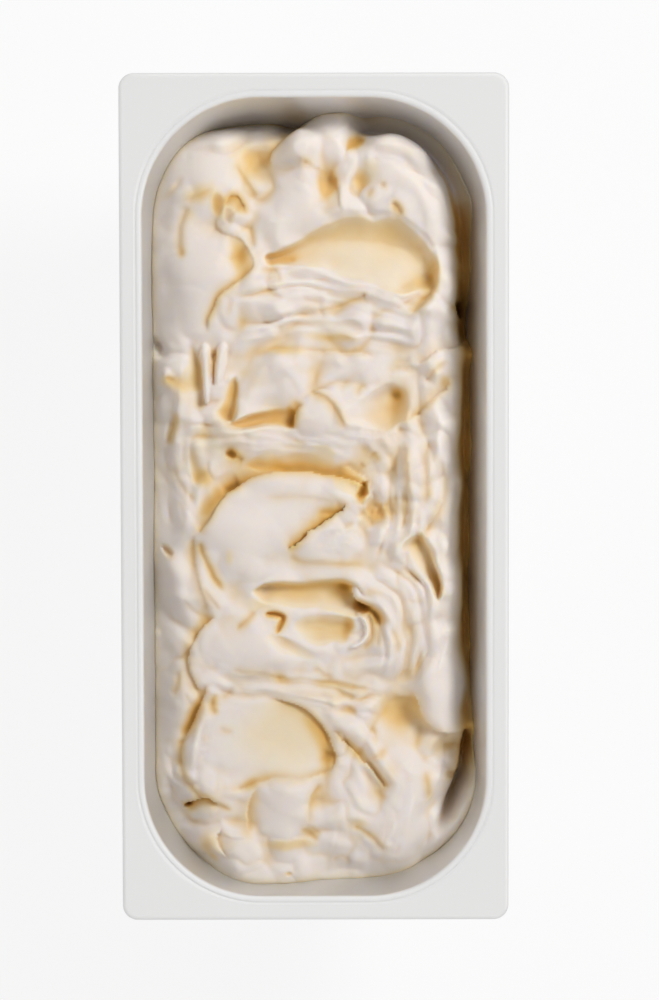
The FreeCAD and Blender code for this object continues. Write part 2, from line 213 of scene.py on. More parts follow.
def satin_steel():
    """Drawn stainless steel: a fine grain, and smears that make it more and less shiny."""
    material, tree, shader = new_material("satin steel")
    place = add(tree, "TexCoord").outputs["Object"]
    stretch = add(tree, "Mapping", Vector=place, Scale=(900, 40, 300))
    grain = add(tree, "TexNoise", Vector=stretch.outputs["Vector"], Scale=1.0, Detail=4.0)
    smear = add(tree, "TexNoise", Vector=place, Scale=22.0, Detail=5.0)
    smeared = {"From Min": 0.3, "From Max": 0.7, "To Min": 0.46, "To Max": 0.54}
    rough = add(tree, "MapRange", Value=smear.outputs["Fac"], **smeared)
    bump = add(tree, "Bump", Height=grain.outputs["Fac"], Strength=0.05, Distance=0.0002)
    feed(shader, Metallic=0.80, Roughness=rough.outputs["Result"], Normal=bump.outputs["Normal"])
    feed(shader, **{"Base Color": (*STEEL_COLOUR, 1)})
    return material


pan = ring_mesh("steel_pan", pan_rings())
pan.data.materials.append(satin_steel())
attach(pan, "root")
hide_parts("pan")

# ------------------------------------------------------------------ the gelato
# Vanilla gelato, filled into the pan and worked by hand with a spatula: broad strokes laid over
# each other, scraped hollows and torn lips. One frozen mass, which fills the pan to the walls.

FREEBOARD = 31.0  # from the rim down to where the gelato meets the steel
GELATO_LEVEL = PAN_HEIGHT - FREEBOARD
CROWN, CROWN_REACH = 14.0, 7.0  # the middle's height over the edge, and how far in it gets there
CLING, CLING_REACH = 1.0, 1.6  # the edge climbs the cold steel a little
HEADROOM = 9.5  # the least that stays free under the rim
# Unevenness in layers, each with its height, the size of its features and its seed.
UNEVEN = ((1.3, 27, 3), (0.9, 13, 5))
WANDER_ACROSS = ((1.3, 14, 41), (0.45, 5, 42))
WANDER_ALONG = ((1.3, 14, 43), (0.45, 5, 44))
SKIN = ((0.12, 7, 31), (0.03, 3, 32))
ROUNDINGS = 3  # how many times the corners of a stroke's path are cut
STREAK_WIDTH = 3.5  # of the streaks that run along a broad ribbon
GRID_STEP = 0.78
END_ROWS = 84
SKIRT_HEIGHTS = (58.0, 36.0, BASE_BEND + SHEET)
SKIRT_ANGLES = (30, 60, 90)  # round the bend at the base
SKIRT_GAP = 0.1  # the skirt keeps off the steel's base
LEAN_REACH = 6.0  # how far from the wall the top leans out with it
NEAR_SIDES, NEAR_ENDS = 60, 130  # how far from the middle it starts to
MILK_WHITE = (0.86, 0.79, 0.745)
# the yellow of scraped faces, which is also used as painted tan shade in dips
SCRAPED_CREAM_AND_TAN_SHADE = (0.88, 0.775, 0.605)
# Painted shade: how deep in a fold or hole a place is, and the tint that multiplies its white there, from a
# pale amber glow down to dark brown in the deepest holes.
FOLD_SHADE_TINTS = (
    (0.12, (0.98, 0.92, 0.80)),
    (0.3, (0.94, 0.785, 0.485)),
    (0.6, (0.86, 0.575, 0.195)),
    (0.85, (0.52, 0.28, 0.055)),
    (1.0, (0.24, 0.14, 0.06)),
)


def blurred(field, cells):
    """Field blurred by about so many grid cells each way."""
    reach = max(1, int(cells))
    for _ in range(3):
        for axis in (0, 1):
            pad = [(reach + 1, reach) if a == axis else (0, 0) for a in (0, 1)]
            total = np.cumsum(np.pad(field, pad, mode="edge"), axis=axis)
            ahead = np.take(total, range(2 * reach + 1, total.shape[axis]), axis=axis)
            behind = np.take(total, range(0, total.shape[axis] - 2 * reach - 1), axis=axis)
            field = (ahead - behind) / (2 * reach + 1)
    return field


def ease(v):
    """0 to 1, with a soft start and stop."""
    v = np.clip(v, 0, 1)
    return v * v * (3 - 2 * v)


def lattice_noise(x, y, size, seed):
    """Smooth noise, -1 to 1, with features of a size in mm."""
    cells = 64
    table = np.random.RandomState(seed).uniform(-1, 1, (cells, cells))
    u, v = x / size + 1000.37, y / size + 1000.71
    i, j = np.floor(u).astype(int), np.floor(v).astype(int)
    a, b = ease(u - i), ease(v - j)
    i, j, i2, j2 = i % cells, j % cells, (i + 1) % cells, (j + 1) % cells
    near = table[i, j] * (1 - a) + table[i2, j] * a
    far = table[i, j2] * (1 - a) + table[i2, j2] * a
    return near * (1 - b) + far * b


def layered_noise(x, y, layers):
    """Sum of noises of several sizes."""
    return sum(height * lattice_noise(x, y, size, seed) for height, size, seed in layers)


def fade(arc, length, ends):
    """0 to 1 along a stroke, with a soft start and stop over its two ends."""
    return ease(arc / ends[0]) * ease((length - arc) / ends[1])


def rounded_path(points):
    """The path with its corners cut until they read as curves."""
    path = np.array(points, float)
    for _ in range(ROUNDINGS):
        if len(path) > 2:
            a, b = path[:-1], path[1:]
            cut = np.empty((2 * len(a), 2))
            cut[0::2], cut[1::2] = 0.75 * a + 0.25 * b, 0.25 * a + 0.75 * b
            path = np.vstack([path[:1], cut, path[-1:]])
    return path


def lengthened(path, stretch):
    """The path carried straight on at both ends."""
    first = (path[0] - path[1]) / np.hypot(*(path[0] - path[1]))
    last = (path[-1] - path[-2]) / np.hypot(*(path[-1] - path[-2]))
    return np.vstack([path[:1] + first * stretch, path, path[-1:] + last * stretch])


def soft_width(share, widths):
    """Width at a share of a stroke, with the steps between the widths smoothed out."""
    fine = np.linspace(-0.25, 1.25, 151)
    run = np.interp(fine, np.linspace(0, 1, len(widths)), widths)
    step = max(3, int(90 / len(widths)))
    for _ in range(2):
        padded = np.pad(run, step // 2, mode="edge")
        run = np.convolve(padded, np.ones(step) / step, "valid")[: len(fine)]
    return np.interp(share, fine, run)


class GelatoTop:
    """The gelato's top on a grid: its height, the lean of its lips and its two tints.

    A stroke follows a path of points; its left side is the high or steep one. cream (0 to 1)
    is the yellow of a scraped face, and in dips it is also painted tan shade; glow (0 to 1) is
    painted amber glow and brown shade deep in a fold or hole. ends are the lengths over which a stroke fades
    in and out, and rag is how torn its line is.
    """

    def __init__(self, x, y):
        width, length, radius = mouth_at(GELATO_LEVEL)
        past_x, past_y = np.abs(x) - (width / 2 - radius), np.abs(y) - (length / 2 - radius)
        corner = np.hypot(np.maximum(past_x, 0), np.maximum(past_y, 0))
        self.inside = radius - corner - np.minimum(np.maximum(past_x, past_y), 0)
        inner = np.maximum(self.inside, 0)
        self.base = GELATO_LEVEL + CROWN * (1 - np.exp(-((inner / CROWN_REACH) ** 1.25)))
        self.base += CLING * np.exp(-inner / CLING_REACH)
        self.base += layered_noise(x, y, UNEVEN) * ease(inner / 12)
        self.z = self.base.copy()
        # no stroke runs quite where it was meant to
        self.x = x + layered_noise(x, y, WANDER_ACROSS)
        self.y = y + layered_noise(x, y, WANDER_ALONG)
        self.lean_x, self.lean_y, self.glow, self.cream = (np.zeros_like(x) for _ in range(4))

    def near(self, points, reach, stretch=0.0):
        """Grid points within reach of a path: side distance, arc length and left normals."""
        path = rounded_path(points)
        if stretch:
            path = lengthened(path, stretch)
        low, high = path.min(0) - reach, path.max(0) + reach
        at = np.nonzero(
            (self.x > low[0]) & (self.x < high[0]) & (self.y > low[1]) & (self.y < high[1])
        )
        x, y = self.x[at], self.y[at]
        best = np.full(x.shape, 1e9)
        side, arc, nx, ny = (np.zeros(x.shape) for _ in range(4))
        length = 0.0
        for (ax, ay), (bx, by) in zip(path[:-1], path[1:]):
            dx, dy = bx - ax, by - ay
            piece = math.hypot(dx, dy)
            if piece < 1e-6:
                continue
            dx, dy = dx / piece, dy / piece
            t = np.clip((x - ax) * dx + (y - ay) * dy, 0, piece)
            gap_x, gap_y = x - ax - t * dx, y - ay - t * dy
            gap = gap_x * gap_x + gap_y * gap_y
            hit = gap < best
            best[hit] = gap[hit]
            cross = dx * (y - ay) - dy * (x - ax)
            side[hit] = (np.sign(cross) * np.sqrt(gap))[hit]
            arc[hit] = (length + t)[hit]
            nx[hit], ny[hit] = -dy, dx
            length += piece
        keep = best < reach * reach
        at = tuple(i[keep] for i in at)
        return at, side[keep], arc[keep] - stretch, nx[keep], ny[keep], length - 2 * stretch

    def torn_line(self, at, side, rag, seed):
        """Side distance from a line that is torn, not cut."""
        if not rag:
            return side
        return side + rag * layered_noise(self.x[at], self.y[at], ((1, 2.3, seed), (0.6, 1.1, seed + 1)))

    def oval(self, x, y, across, along, turn):
        """Distance from a place, as a share of an oval's size, squared."""
        c, s = math.cos(math.radians(turn)), math.sin(math.radians(turn))
        dx, dy = self.x - x, self.y - y
        return ((dx * c + dy * s) / across) ** 2 + ((dy * c - dx * s) / along) ** 2

    def deepen(self, at, cream=None, glow=None):
        """Tint the grid at least so much."""
        for field, value in ((self.cream, cream), (self.glow, glow)):
            if value is not None:
                field[at] = np.maximum(field[at], value)

    def cover(self, at, share, cream, glow=0.0):
        """Fresh gelato hides the tint and the lips of what it covers."""
        self.glow[at] = self.glow[at] * (1 - share) + share * glow
        self.cream[at] = self.cream[at] * (1 - share) + share * cream
        self.lean_x[at] *= 1 - share
        self.lean_y[at] *= 1 - share

    def fold(self, points, rise, drop, back=9.0, front=5.0, lean=0.0, glow=0.0, width=2.0,
             rag=0.0, ends=(8, 8), lip=1.4, crack=0.2):
        """A lip of gelato, high on the left of the path, laid over what is on the right."""
        reach = 5.0 * max(back * (rise != 0), front * (drop != 0)) + 4
        at, s, arc, nx, ny, length = self.near(points, reach)
        s = self.torn_line(at, s, rag, 7)
        along = fade(arc, length, ends)
        high_fade = fade(arc, length, [max(end, 1.3 * back) for end in ends])
        low_fade = fade(arc, length, [max(end, 1.3 * front) for end in ends])
        d, v = np.maximum(s, 0), np.minimum(s, 0)
        high = 1.5 * rise * (1 - np.exp(-d / lip)) * np.exp(-((d / (2.4 * back)) ** 1.5)) * high_fade
        slope = (1 - 0.7 * np.exp(v / (0.5 * lip))) * np.exp(v / (1.7 * front)) * low_fade
        low = -drop * ((1 - crack) * slope + crack * np.exp(-(v**2)) * along)
        self.z[at] += np.where(s > 0, high, low)
        if lean:
            push = lean * along * np.exp(-((s / (2.0 + lean)) ** 2)) * (s > 0)
            self.lean_x[at] -= nx * push
            self.lean_y[at] -= ny * push
        # painted shade: an amber line at the lip and a broad tint on its low side, where the crease lies in
        # shade
        if glow:
            broad = np.exp(-((s / np.where(s > 0, 0.3 * width + 0.3, 1.8 * width)) ** 2))
            line = glow * along * (0.50 * broad + 0.34 * np.exp(-((s + 0.5) ** 2)))
            self.deepen(at, glow=line)

    def bowl(self, s, arc, length, widths, blunt, skew, power):
        """Place across a stroke, -1 to 1, and its rounded section: 1 in the middle, 0 at its edge."""
        q = s / (soft_width(np.clip(arc / length, 0, 1), widths) / 2)
        u = np.where(q > skew, (q - skew) / (1 - skew), (skew - q) / (1 + skew))
        first, last = min(blunt[0], 0.5 * length), min(blunt[1], 0.5 * length)
        tips = np.maximum(0, 1 - arc / first) ** 2 + np.maximum(0, 1 - (length - arc) / last) ** 2
        return q, 1 - np.abs(u) ** power - tips

    def scoop(self, points, widths, depth, rim=2.0, blunt=(8, 8), skew=0.0, power=2.0,
              cream=0.6, wall=0.0, soft=1.3, end_wall=0.0):
        """A smooth face cut by the spatula, its deepest line moved to the left by skew; wall and end_wall
        paint shade on its steep side and its far end.
        """
        at, s, arc, _, _, length = self.near(points, max(widths) * 0.8 + 3, stretch=12)
        q, section = self.bowl(s, arc, length, widths, blunt, skew, power)
        new = self.base[at] + rim - (1.2 * depth + rim) * section
        old = self.z[at]
        share = np.clip((old - new) / 0.8, 0, 1)
        # painted shade on the steep wall and at the far end
        steep = 0.6 * ease((q - skew) / 0.12) + 0.4 * ease((q - skew) / (1 - skew))
        glow = wall * ease(arc / (0.3 * length)) * steep
        glow = glow + end_wall * ease((arc - length + blunt[1] * 1.3) / (blunt[1] * 1.3))
        self.cover(at, share, cream, np.clip(glow, 0, 1))
        self.z[at] = 0.5 * (old + new - np.sqrt((old - new) ** 2 + soft**2))

    def heap(self, at, section, height, foot, soft):
        """Raise the grid to a rounded section that stands on the gelato."""
        new = self.base[at] + foot
        new += (height - foot) * np.where(section > 0, np.sqrt(np.maximum(section, 0)), 4 * section)
        old = self.z[at]
        self.cover(at, np.clip((new - old) / 0.8, 0, 1), 0.0)
        self.z[at] = 0.5 * (old + new + np.sqrt((old - new) ** 2 + soft**2))

    def lay(self, points, widths, height, foot=-6.0, blunt=(8, 8), power=2.0):
        """A rope of gelato laid on top."""
        at, s, arc, _, _, length = self.near(points, max(widths) * 0.8 + 3, stretch=max(14, *blunt))
        _, section = self.bowl(s, arc, length, widths, blunt, 0.0, power)
        self.heap(at, section, height, foot, 0.4)

    def dome(self, x, y, across, along, height, foot=-6.0, turn=0.0, soft=0.6):
        """A lump of gelato laid on top."""
        section = 1 - self.oval(x, y, across, along, turn)
        at = np.nonzero(section > -1.5)
        self.heap(at, section[at], height, foot, soft)

    def sheet(self, points, widths, heights, edges, streak=0.6):
        """A broad ribbon of one stroke; heights at its left edge, middle and right edge."""
        reach = max(widths) * 0.62 + 4
        at, s, arc, _, _, length = self.near(points, reach, stretch=0.5 * max(widths))
        t = np.clip(arc / length, 0, 1)
        half = np.interp(t, np.linspace(0, 1, len(widths)), widths) / 2
        q = np.clip(s / half, -1.3, 1.3)
        left, middle, right = (1.5 * height for height in heights)
        new = self.base[at] + middle + 0.5 * (left - right) * q
        new += (0.5 * (left + right) - middle) * q * q
        seed = int(abs(points[0][0] * 7 + points[0][1] * 13)) % 1000
        fine = lattice_noise(s, arc / 7, STREAK_WIDTH / 2.2, seed + 1)
        new += streak * (lattice_noise(s, arc / 9, STREAK_WIDTH, seed) + 0.5 * fine)
        tips = 0.5 * half * (1 - 1.4 * q * q)
        share = 1.0
        for gap, soft in zip((half - s, half + s, arc + tips, length - arc + tips), edges):
            share = share * ease(gap / soft)
        self.cover(at, share, 0.0)
        self.z[at] = self.z[at] * (1 - share) + new * share

    def mound(self, x, y, across, along, rise, turn=0.0, power=1.0):
        """A soft swelling (or, with a negative rise, a dip)."""
        self.z += 1.35 * rise * np.exp(-(self.oval(x, y, across, along, turn) ** power))

    def pit(self, x, y, across, along, depth, glow=0.0, turn=0.0, rag=0.0, power=2.0):
        """A hole with a steep edge; glow paints amber and brown shade into it."""
        r = np.sqrt(self.oval(x, y, across, along, turn))
        if rag:
            r = r + rag * lattice_noise(self.x, self.y, 1.8, 11)
        k = np.clip(1 - r**power, 0, 1) ** 0.7
        self.z -= depth * k
        self.deepen(..., glow=glow * ease(k * 1.6))

    def groove(self, points, depth, width, glow=0.0, rag=0.0, ends=(6, 6), sharp=1.0,
               glow_width=None):
        """A crease between two folds, the same on both sides."""
        at, s, arc, _, _, length = self.near(points, 3 * width + 2)
        s = self.torn_line(at, s, rag, 17)
        along = fade(arc, length, ends)
        self.z[at] -= 0.7 * depth * along * np.exp(-((np.abs(s) / width) ** sharp))
        shoulder = np.tanh(1.5 * s / width) * np.exp(-np.abs(s) / (1.2 * width + 1.5))
        self.z[at] += 0.4 * depth * along * shoulder
        self.deepen(at, glow=glow * along * np.exp(-((s / (glow_width or width)) ** 2)))

    def tint(self, x, y, across, along, cream=0.0, glow=0.0, turn=0.0, power=1.0):
        """An oval patch of tint: mostly painted shade or glow, and the cream of a scraped face."""
        k = np.exp(-(self.oval(x, y, across, along, turn) ** power))
        self.deepen(..., cream * k, glow * k)

    def band(self, points, width, cream=0.0, glow=0.0, ends=(6, 6)):
        """A streak of tint, mostly painted shade along a crease."""
        at, s, arc, _, _, length = self.near(points, 2.5 * width + 1)
        k = fade(arc, length, ends) * np.exp(-((s / width) ** 2))
        self.deepen(at, cream * k, glow * k)

    def tear(self, x, y, across, along, height, turn=0.0, size=1.6):
        """Rough torn gelato."""
        k = np.exp(-(self.oval(x, y, across, along, turn) ** 2))
        coarse = np.abs(lattice_noise(self.x, self.y, size * 2.2, 21))
        fine = np.abs(lattice_noise(self.x, self.y, size, 22))
        self.z -= height * k * (coarse + 0.6 * fine)

    def knead(self, size, height, seed, painted_fold_shade=0.2):
        """Soft lobes with creases between them, as the mass folds when it is worked, and painted shade in
        the creases.
        """
        x = self.x + 0.35 * size * lattice_noise(self.x, self.y, 1.5 * size, seed)
        y = self.y + 0.35 * size * lattice_noise(self.x, self.y, 1.5 * size, seed + 1)
        n = layered_noise(x, y, ((1, size, seed + 2), (0.25, 0.45 * size, seed + 3)))
        k = ease(0.6 + 0.9 * lattice_noise(x, y, 2.2 * size, seed + 4)) * ease(self.inside / 8)
        self.z += height * (np.sqrt(n * n + 0.004) - 0.38) * (0.35 + 0.65 * k)
        self.deepen(..., glow=painted_fold_shade * k * np.exp(-((n / 0.06) ** 2)))

    def comb(self, points, width, depth, pitch, ends=(8, 8), painted_fold_shade=0.15):
        """Ribbons along a stroke, with creases between them and painted shade in the creases."""
        at, s, arc, _, _, length = self.near(points, width * 0.75)
        seed = int(abs(points[0][0] * 5 + points[0][1] * 11)) % 1000
        k = fade(arc, length, ends) * ease((0.5 * width - np.abs(s)) / (0.25 * width))
        n = lattice_noise(s, arc / 10, pitch, seed) + 0.35 * lattice_noise(s, arc / 5, pitch / 2.1, seed + 1)
        self.z[at] += depth * k * (np.sqrt(n * n + 0.003) - 0.4)
        patchy = ease(0.5 + lattice_noise(s, arc, 9, seed + 2))
        self.deepen(at, glow=painted_fold_shade * k * np.exp(-((n / 0.07) ** 2)) * patchy)

    def calm(self, x, y, across, along, power=2.0, cells=5):
        """A stretch that one sweep of the spatula smoothed."""
        k = np.exp(-(self.oval(x, y, across, along, 0.0) ** power))
        self.z += k * (blurred(self.z, cells) - self.z)
        self.glow *= 1 - k

    def settle(self, cells):
        """Slump of the broad forms into each other before the lips are drawn."""
        self.z = blurred(self.z, cells)
        self.cream = blurred(self.cream, cells)
        self.glow = blurred(self.glow, cells)

    def finish(self):
        """Paint shade along the edge where the gelato meets the steel, roughen the skin and keep the top
        under the rim.
        """
        edge = np.exp(-np.maximum(self.inside, 0) / 1.4)
        self.deepen(..., edge, 0.24 * edge)
        self.z += layered_noise(self.x, self.y, SKIN)
        room = PAN_HEIGHT - HEADROOM - self.z
        self.z = PAN_HEIGHT - HEADROOM - 0.5 * (room + np.sqrt(room**2 + 1.0))


def far_forms(g):
    """Broad forms of the far third: lobes, dips and where the mass stands off the steel."""
    g.z -= 1.0
    for swelling in (
        (-29, 168, 23, 8, -17, 0, 1.3), (-9, 165, 7, 8, -16), (65, 95, 6, 60, -1.6),
        (65, -20, 6, 70, -1.6), (62, 120, 6, 26, -2.5), (-50, 139, 17, 11, 2), (-24, 147, 8, 12, -5.4, 14),
        (-37, 151, 6, 6, 1.2),
    ):
        g.mound(*swelling)
    g.groove([(12, 166), (28, 163.5), (43, 158.5), (54, 150), (62, 139), (66.4, 126), (68.2, 110),
        (68.6, 92), (68.6, 60)], 38, 4.6, ends=(14, 10), sharp=2.6)
    g.groove([(68.6, 66), (68.8, 20), (68.8, -60), (68.4, -106)], 36, 3.4, ends=(10, 12), sharp=2.8)
    # painted dark shade in the gap between the gelato and the right wall, and a lighter painted shade just
    # inside it
    g.band([(62, 134), (66.2, 122), (67.2, 92), (67.6, 20), (67.6, -60), (67, -112), (64, -128)], 3.4,
        glow=1, ends=(14, 14))
    g.band([(58, 140), (63.6, 122), (65, 92), (65.4, 20), (65.4, -60), (64, -110), (56, -138)], 3.6,
        glow=0.2, ends=(14, 14))
    g.lay([(-13, 148), (-4, 151.5), (3, 155)], (12, 15, 17), 5.2, foot=-7, blunt=(7, 9))
    for swelling in ((7, 153, 5, 6, 1.6), (-10, 127, 15, 14, 3.2, 0, 1.4), (-25, 122, 5, 16, -1.4)):
        g.mound(*swelling)
    g.lay([(24, 151), (33, 152.5), (43, 148), (50, 141)], (11, 13, 12, 8), 3, foot=-5, blunt=(7, 9))
    for swelling in (
        (38, 134, 20, 9, 2.4, -25, 1.4), (14.5, 134, 4, 12, 1.4), (59, 106, 7, 24, 2, -6),
        (56, 128, 6, 10, 1.4, -20), (-54, 96, 16, 24, 4.6, 0, 1.5), (-50, 118, 9, 6, -1.4),
        (-62, 100, 8, 30, 1),
    ):
        g.mound(*swelling)


def settled(g):
    """The broad forms slump into each other, and the mass keeps the creases of its working."""
    g.settle(2)
    g.knead(23, 9, 60, painted_fold_shade=0.1)
    g.knead(11, 3.6, 70, painted_fold_shade=0.14)
    # ribbons of the working strokes
    g.comb([(-34, 80), (-8, 84), (20, 82), (52, 72)], 36, 3.4, pitch=5.4, painted_fold_shade=0.22)
    g.comb([(-62, 50), (-65, 16), (-58, -12)], 24, 3, pitch=5.6, painted_fold_shade=0.2)
    g.comb([(-58, 27), (-30, 25), (0, 25), (16, 19)], 18, 2.4, pitch=4.6, painted_fold_shade=0.2)
    g.comb([(34, 34), (44, 12), (44, -10), (38, -32)], 34, 4, pitch=6.2, painted_fold_shade=0.26)
    g.comb([(60, 60), (61, 20), (60, -24), (60, -60)], 20, 3, pitch=6, painted_fold_shade=0.2)
    g.comb([(24, -32), (38, -46), (42, -64), (38, -84)], 34, 4, pitch=5.8, painted_fold_shade=0.26)
    g.comb([(-46, -79), (-20, -81), (8, -85), (31, -92)], 18, 2.6, pitch=4.8, painted_fold_shade=0.2)
    g.comb([(8, -94), (22, -110), (34, -128)], 22, 3.2, pitch=5.6, painted_fold_shade=0.2)


def far_work(g):
    """Lips, hollows and cracks of the far third."""
    # the white peak and the dip at its left, painted brown with shade
    g.fold([(-2, 163.5), (-7.5, 158), (-12, 154.5), (-16.5, 151), (-18.3, 146.5), (-17, 141.5)], 1.6, 5.5,
        back=6, front=5.5, lean=0.5, glow=0.62, width=3.4, ends=(2, 8), lip=2.2)
    g.band([(-14, 160), (-19, 153), (-21, 144)], 5, glow=0.24, ends=(4, 6))
    g.tint(-28, 146, 7, 10, cream=1, glow=0.14, turn=12, power=1.6)
    g.groove([(-33.4, 144), (-30, 138.5), (-26.5, 134), (-24.8, 131)], 1.5, 0.9, glow=0.5, ends=(3, 1.5))
    g.groove([(-24, 152), (-22.5, 146), (-23, 140)], 0.6, 1, glow=0.1)
    g.groove([(22.6, 157.5), (19, 154), (15.5, 151), (12.4, 148.5)], 3.2, 1.9, glow=0.42, glow_width=2.2,
        ends=(4, 4))
    g.mound(20, 155, 4, 6, -3.2, turn=-30)
    g.tint(19.6, 154, 3.4, 4.6, cream=1, glow=0.14, turn=-30, power=1.4)
    g.groove([(-17, 142), (-9, 141.2), (0, 141.8), (5, 140)], 0.7, 1, glow=0.12)
    g.pit(-2.8, 143.2, 1.8, 1, 1, glow=0.5)
    g.tint(-2.8, 143.2, 2.4, 1.5, glow=0.45)
    # valley with painted tan shade, and a thin bright ridge at its right
    g.mound(5.6, 134, 4.2, 9, -3.4, turn=-4)
    g.tint(6.4, 134, 4, 8, cream=1, glow=0.15, turn=-4, power=1.4)
    g.fold([(6.5, 142.5), (9.6, 136.5), (11.4, 130), (11.7, 122)], 1.3, 0.8, back=1.2, front=3, lean=0.3,
        glow=0.25, width=1.4, ends=(4, 3), lip=0.7)
    g.mound(-3.5, 133, 4, 9, 1.2)
    g.tint(6.5, 124.6, 2.2, 1.4, glow=0.35)
    # soft shade beside the lump with orange marks
    g.mound(23, 138, 4, 6, -2.4, turn=-35)
    g.tint(23, 138, 4.4, 6, cream=1, glow=0.06, turn=-35, power=1.4)
    g.dome(28, 131, 8.5, 5.5, 2.6, foot=-4, turn=18, soft=1.2)
    g.groove([(25.8, 133.2), (24.8, 131), (23.6, 128.6)], 1.3, 0.8, glow=0.75, ends=(1.5, 1.5), rag=0.4)
    g.groove([(28.2, 134.4), (30.2, 134.2), (31, 132.4)], 1.3, 0.8, glow=0.72, ends=(1, 1))
    g.fold([(33, 126), (36.6, 125), (38.2, 120.6)], 0.6, 2.6, back=2, front=1.7, glow=0.95, width=1.5,
        ends=(1.5, 1.5))
    g.groove([(52.4, 142.2), (51, 139.2)], 1.3, 0.8, glow=0.5, ends=(1, 1))
    g.fold([(51.5, 137.5), (54, 139.6), (55.5, 137)], 0.6, 0.8, back=1.4, front=1.4, ends=(1, 1))
    g.groove([(26.5, 145.5), (27.6, 143.6)], 0.7, 0.7, glow=0.3, ends=(1, 1))
    g.fold([(40, 150), (47, 146.5), (52, 141)], 0.5, 0.9, back=3, front=3, rag=0.3)
    g.fold([(58.5, 132), (50, 137.5), (41, 139.5), (31, 141.5)], 0.6, 1.2, back=5, front=4, ends=(8, 6))
    g.comb([(24, 150), (38, 149), (52, 137)], 16, 1.2, pitch=4)

    # the holes in the far left lobe, with painted amber glow and shade in and round them
    g.groove([(-66.5, 129.5), (-61, 133.5), (-56.5, 138.5)], 1.3, 1.1, glow=0.26, ends=(3, 4))
    g.tint(-49.5, 131, 7, 4.2, cream=1, glow=0.16, turn=14, power=1.5)
    g.tint(-49.3, 130, 2.8, 2.2, glow=0.42)
    g.groove([(-56, 129), (-50, 130.3), (-43.2, 133.6)], 0.9, 0.9, glow=0.42, ends=(2, 3))
    g.pit(-41.7, 126.6, 2.9, 5.2, 1.5, glow=0.66, turn=3, power=2.6)
    g.tint(-41.7, 122.8, 1.2, 2.2, glow=0.86)
    g.tint(-33.4, 129.6, 3.2, 2, glow=0.56, turn=-20)
    g.fold([(-38.6, 126.2), (-36.8, 130.6), (-33, 132), (-29.8, 128.6), (-28.4, 122)], 0.8, 1.8, back=3,
        front=2.6, lean=0.5, glow=1, width=3.6, ends=(2, 2.5), crack=0.3)
    g.dome(-31.2, 124.6, 2.2, 2.6, -1)
    g.pit(-36.2, 121.8, 2.6, 4, 1.8, glow=0.32)
    g.groove([(-54.3, 126.6), (-57.3, 120.5), (-58.6, 112), (-57, 107)], 1.6, 1.7, glow=0.34,
        glow_width=1.7, ends=(3, 2))
    g.groove([(-57.6, 109), (-56, 104.2)], 1.2, 0.9, glow=0.85, ends=(1.5, 1.2))
    g.band([(-54.5, 126), (-54, 121), (-53, 117)], 2.4, cream=1, glow=0.14)

    # the lip of the big left dome, with an orange glow under it
    g.fold([(-42.4, 121), (-42, 116), (-36.5, 113.3), (-31.4, 112.6), (-28.4, 108), (-26, 101.5),
        (-26.6, 98), (-33.4, 92.6), (-40, 88), (-44.6, 81), (-46, 70)], 1, 1.9, back=6, front=3.4,
        lean=0.3, glow=0.26, width=1.8, ends=(2, 6), lip=1.8, crack=0.1)
    g.mound(-32.5, 104, 4.5, 7, -3.2, turn=-10)
    g.tint(-31.8, 104.5, 4.2, 6.5, cream=1, glow=0.4, turn=12, power=1.6)
    g.tint(-30.8, 104.6, 2.4, 3.6, glow=0.62, power=1.4)
    g.band([(-27.6, 103), (-28, 98.5), (-32, 94.5), (-37.5, 90)], 1.6, glow=0.62, ends=(3, 3))
    g.groove([(-33, 93.4), (-40, 88.2), (-44.7, 81), (-45.8, 71)], 1, 1.5, glow=0.6, glow_width=1.3,
        ends=(4, 8))
    g.fold([(-25.6, 98), (-25.4, 104), (-27.5, 110), (-31, 114)], 0.9, 0.7, back=1.8, front=2.4,
        ends=(3, 3))
    g.groove([(-26, 117.4), (-26.2, 112), (-25.2, 107)], 1, 0.8, glow=0.42, ends=(2, 2))
    g.groove([(-45, 86.5), (-57, 92), (-62, 89)], 0.5, 1.6)
    g.mound(-62, 92, 4, 7, -1)

    # the big scoop: a wall above with painted tan shade, a smooth cream face below
    g.scoop([(-23, 101.4), (-8, 104), (5, 107.6), (18, 107), (32, 104), (42, 98), (47, 87.5)],
        (6, 10, 20, 33, 37, 31, 13), 7.4, rim=1.6, blunt=(3, 8), skew=0.34, power=1.8, cream=0.8,
        wall=0.22, end_wall=0.4, soft=0.6)
    g.tint(-14, 102.6, 8, 2.6, cream=1, glow=0.16, turn=12, power=2)
    g.pit(-9.5, 102.6, 1.3, 0.9, 0.7, glow=0.5)
    g.groove([(3.5, 111), (19, 113), (31.7, 110.2), (41, 105.5), (46.6, 98)], 0.4, 1, glow=0.12,
        ends=(10, 6))
    g.fold([(2, 117.6), (15, 123.6), (31, 123), (43.5, 117.4), (51.6, 108), (53, 98), (52.2, 90)], 1.3, 0,
        back=2.6, front=2, ends=(8, 6), lip=0.8)
    g.groove([(39, 111.5), (44, 108.5), (47.2, 104.5)], 0.5, 0.9, glow=0.3, ends=(3, 2))
    g.groove([(47.2, 103.8), (48, 101), (46.8, 99.6)], 0.5, 0.7, glow=0.3, ends=(1, 1))
    g.band([(51, 104), (51.2, 97), (50, 91)], 2.2, glow=0.62, ends=(5, 3))
    g.fold([(52.6, 97), (51.4, 91), (49.2, 87), (45.6, 82.4), (41.4, 78.6)], 0.8, 3, back=3, front=2.2,
        glow=0.85, width=1.6, rag=0.55, ends=(3, 2.5))


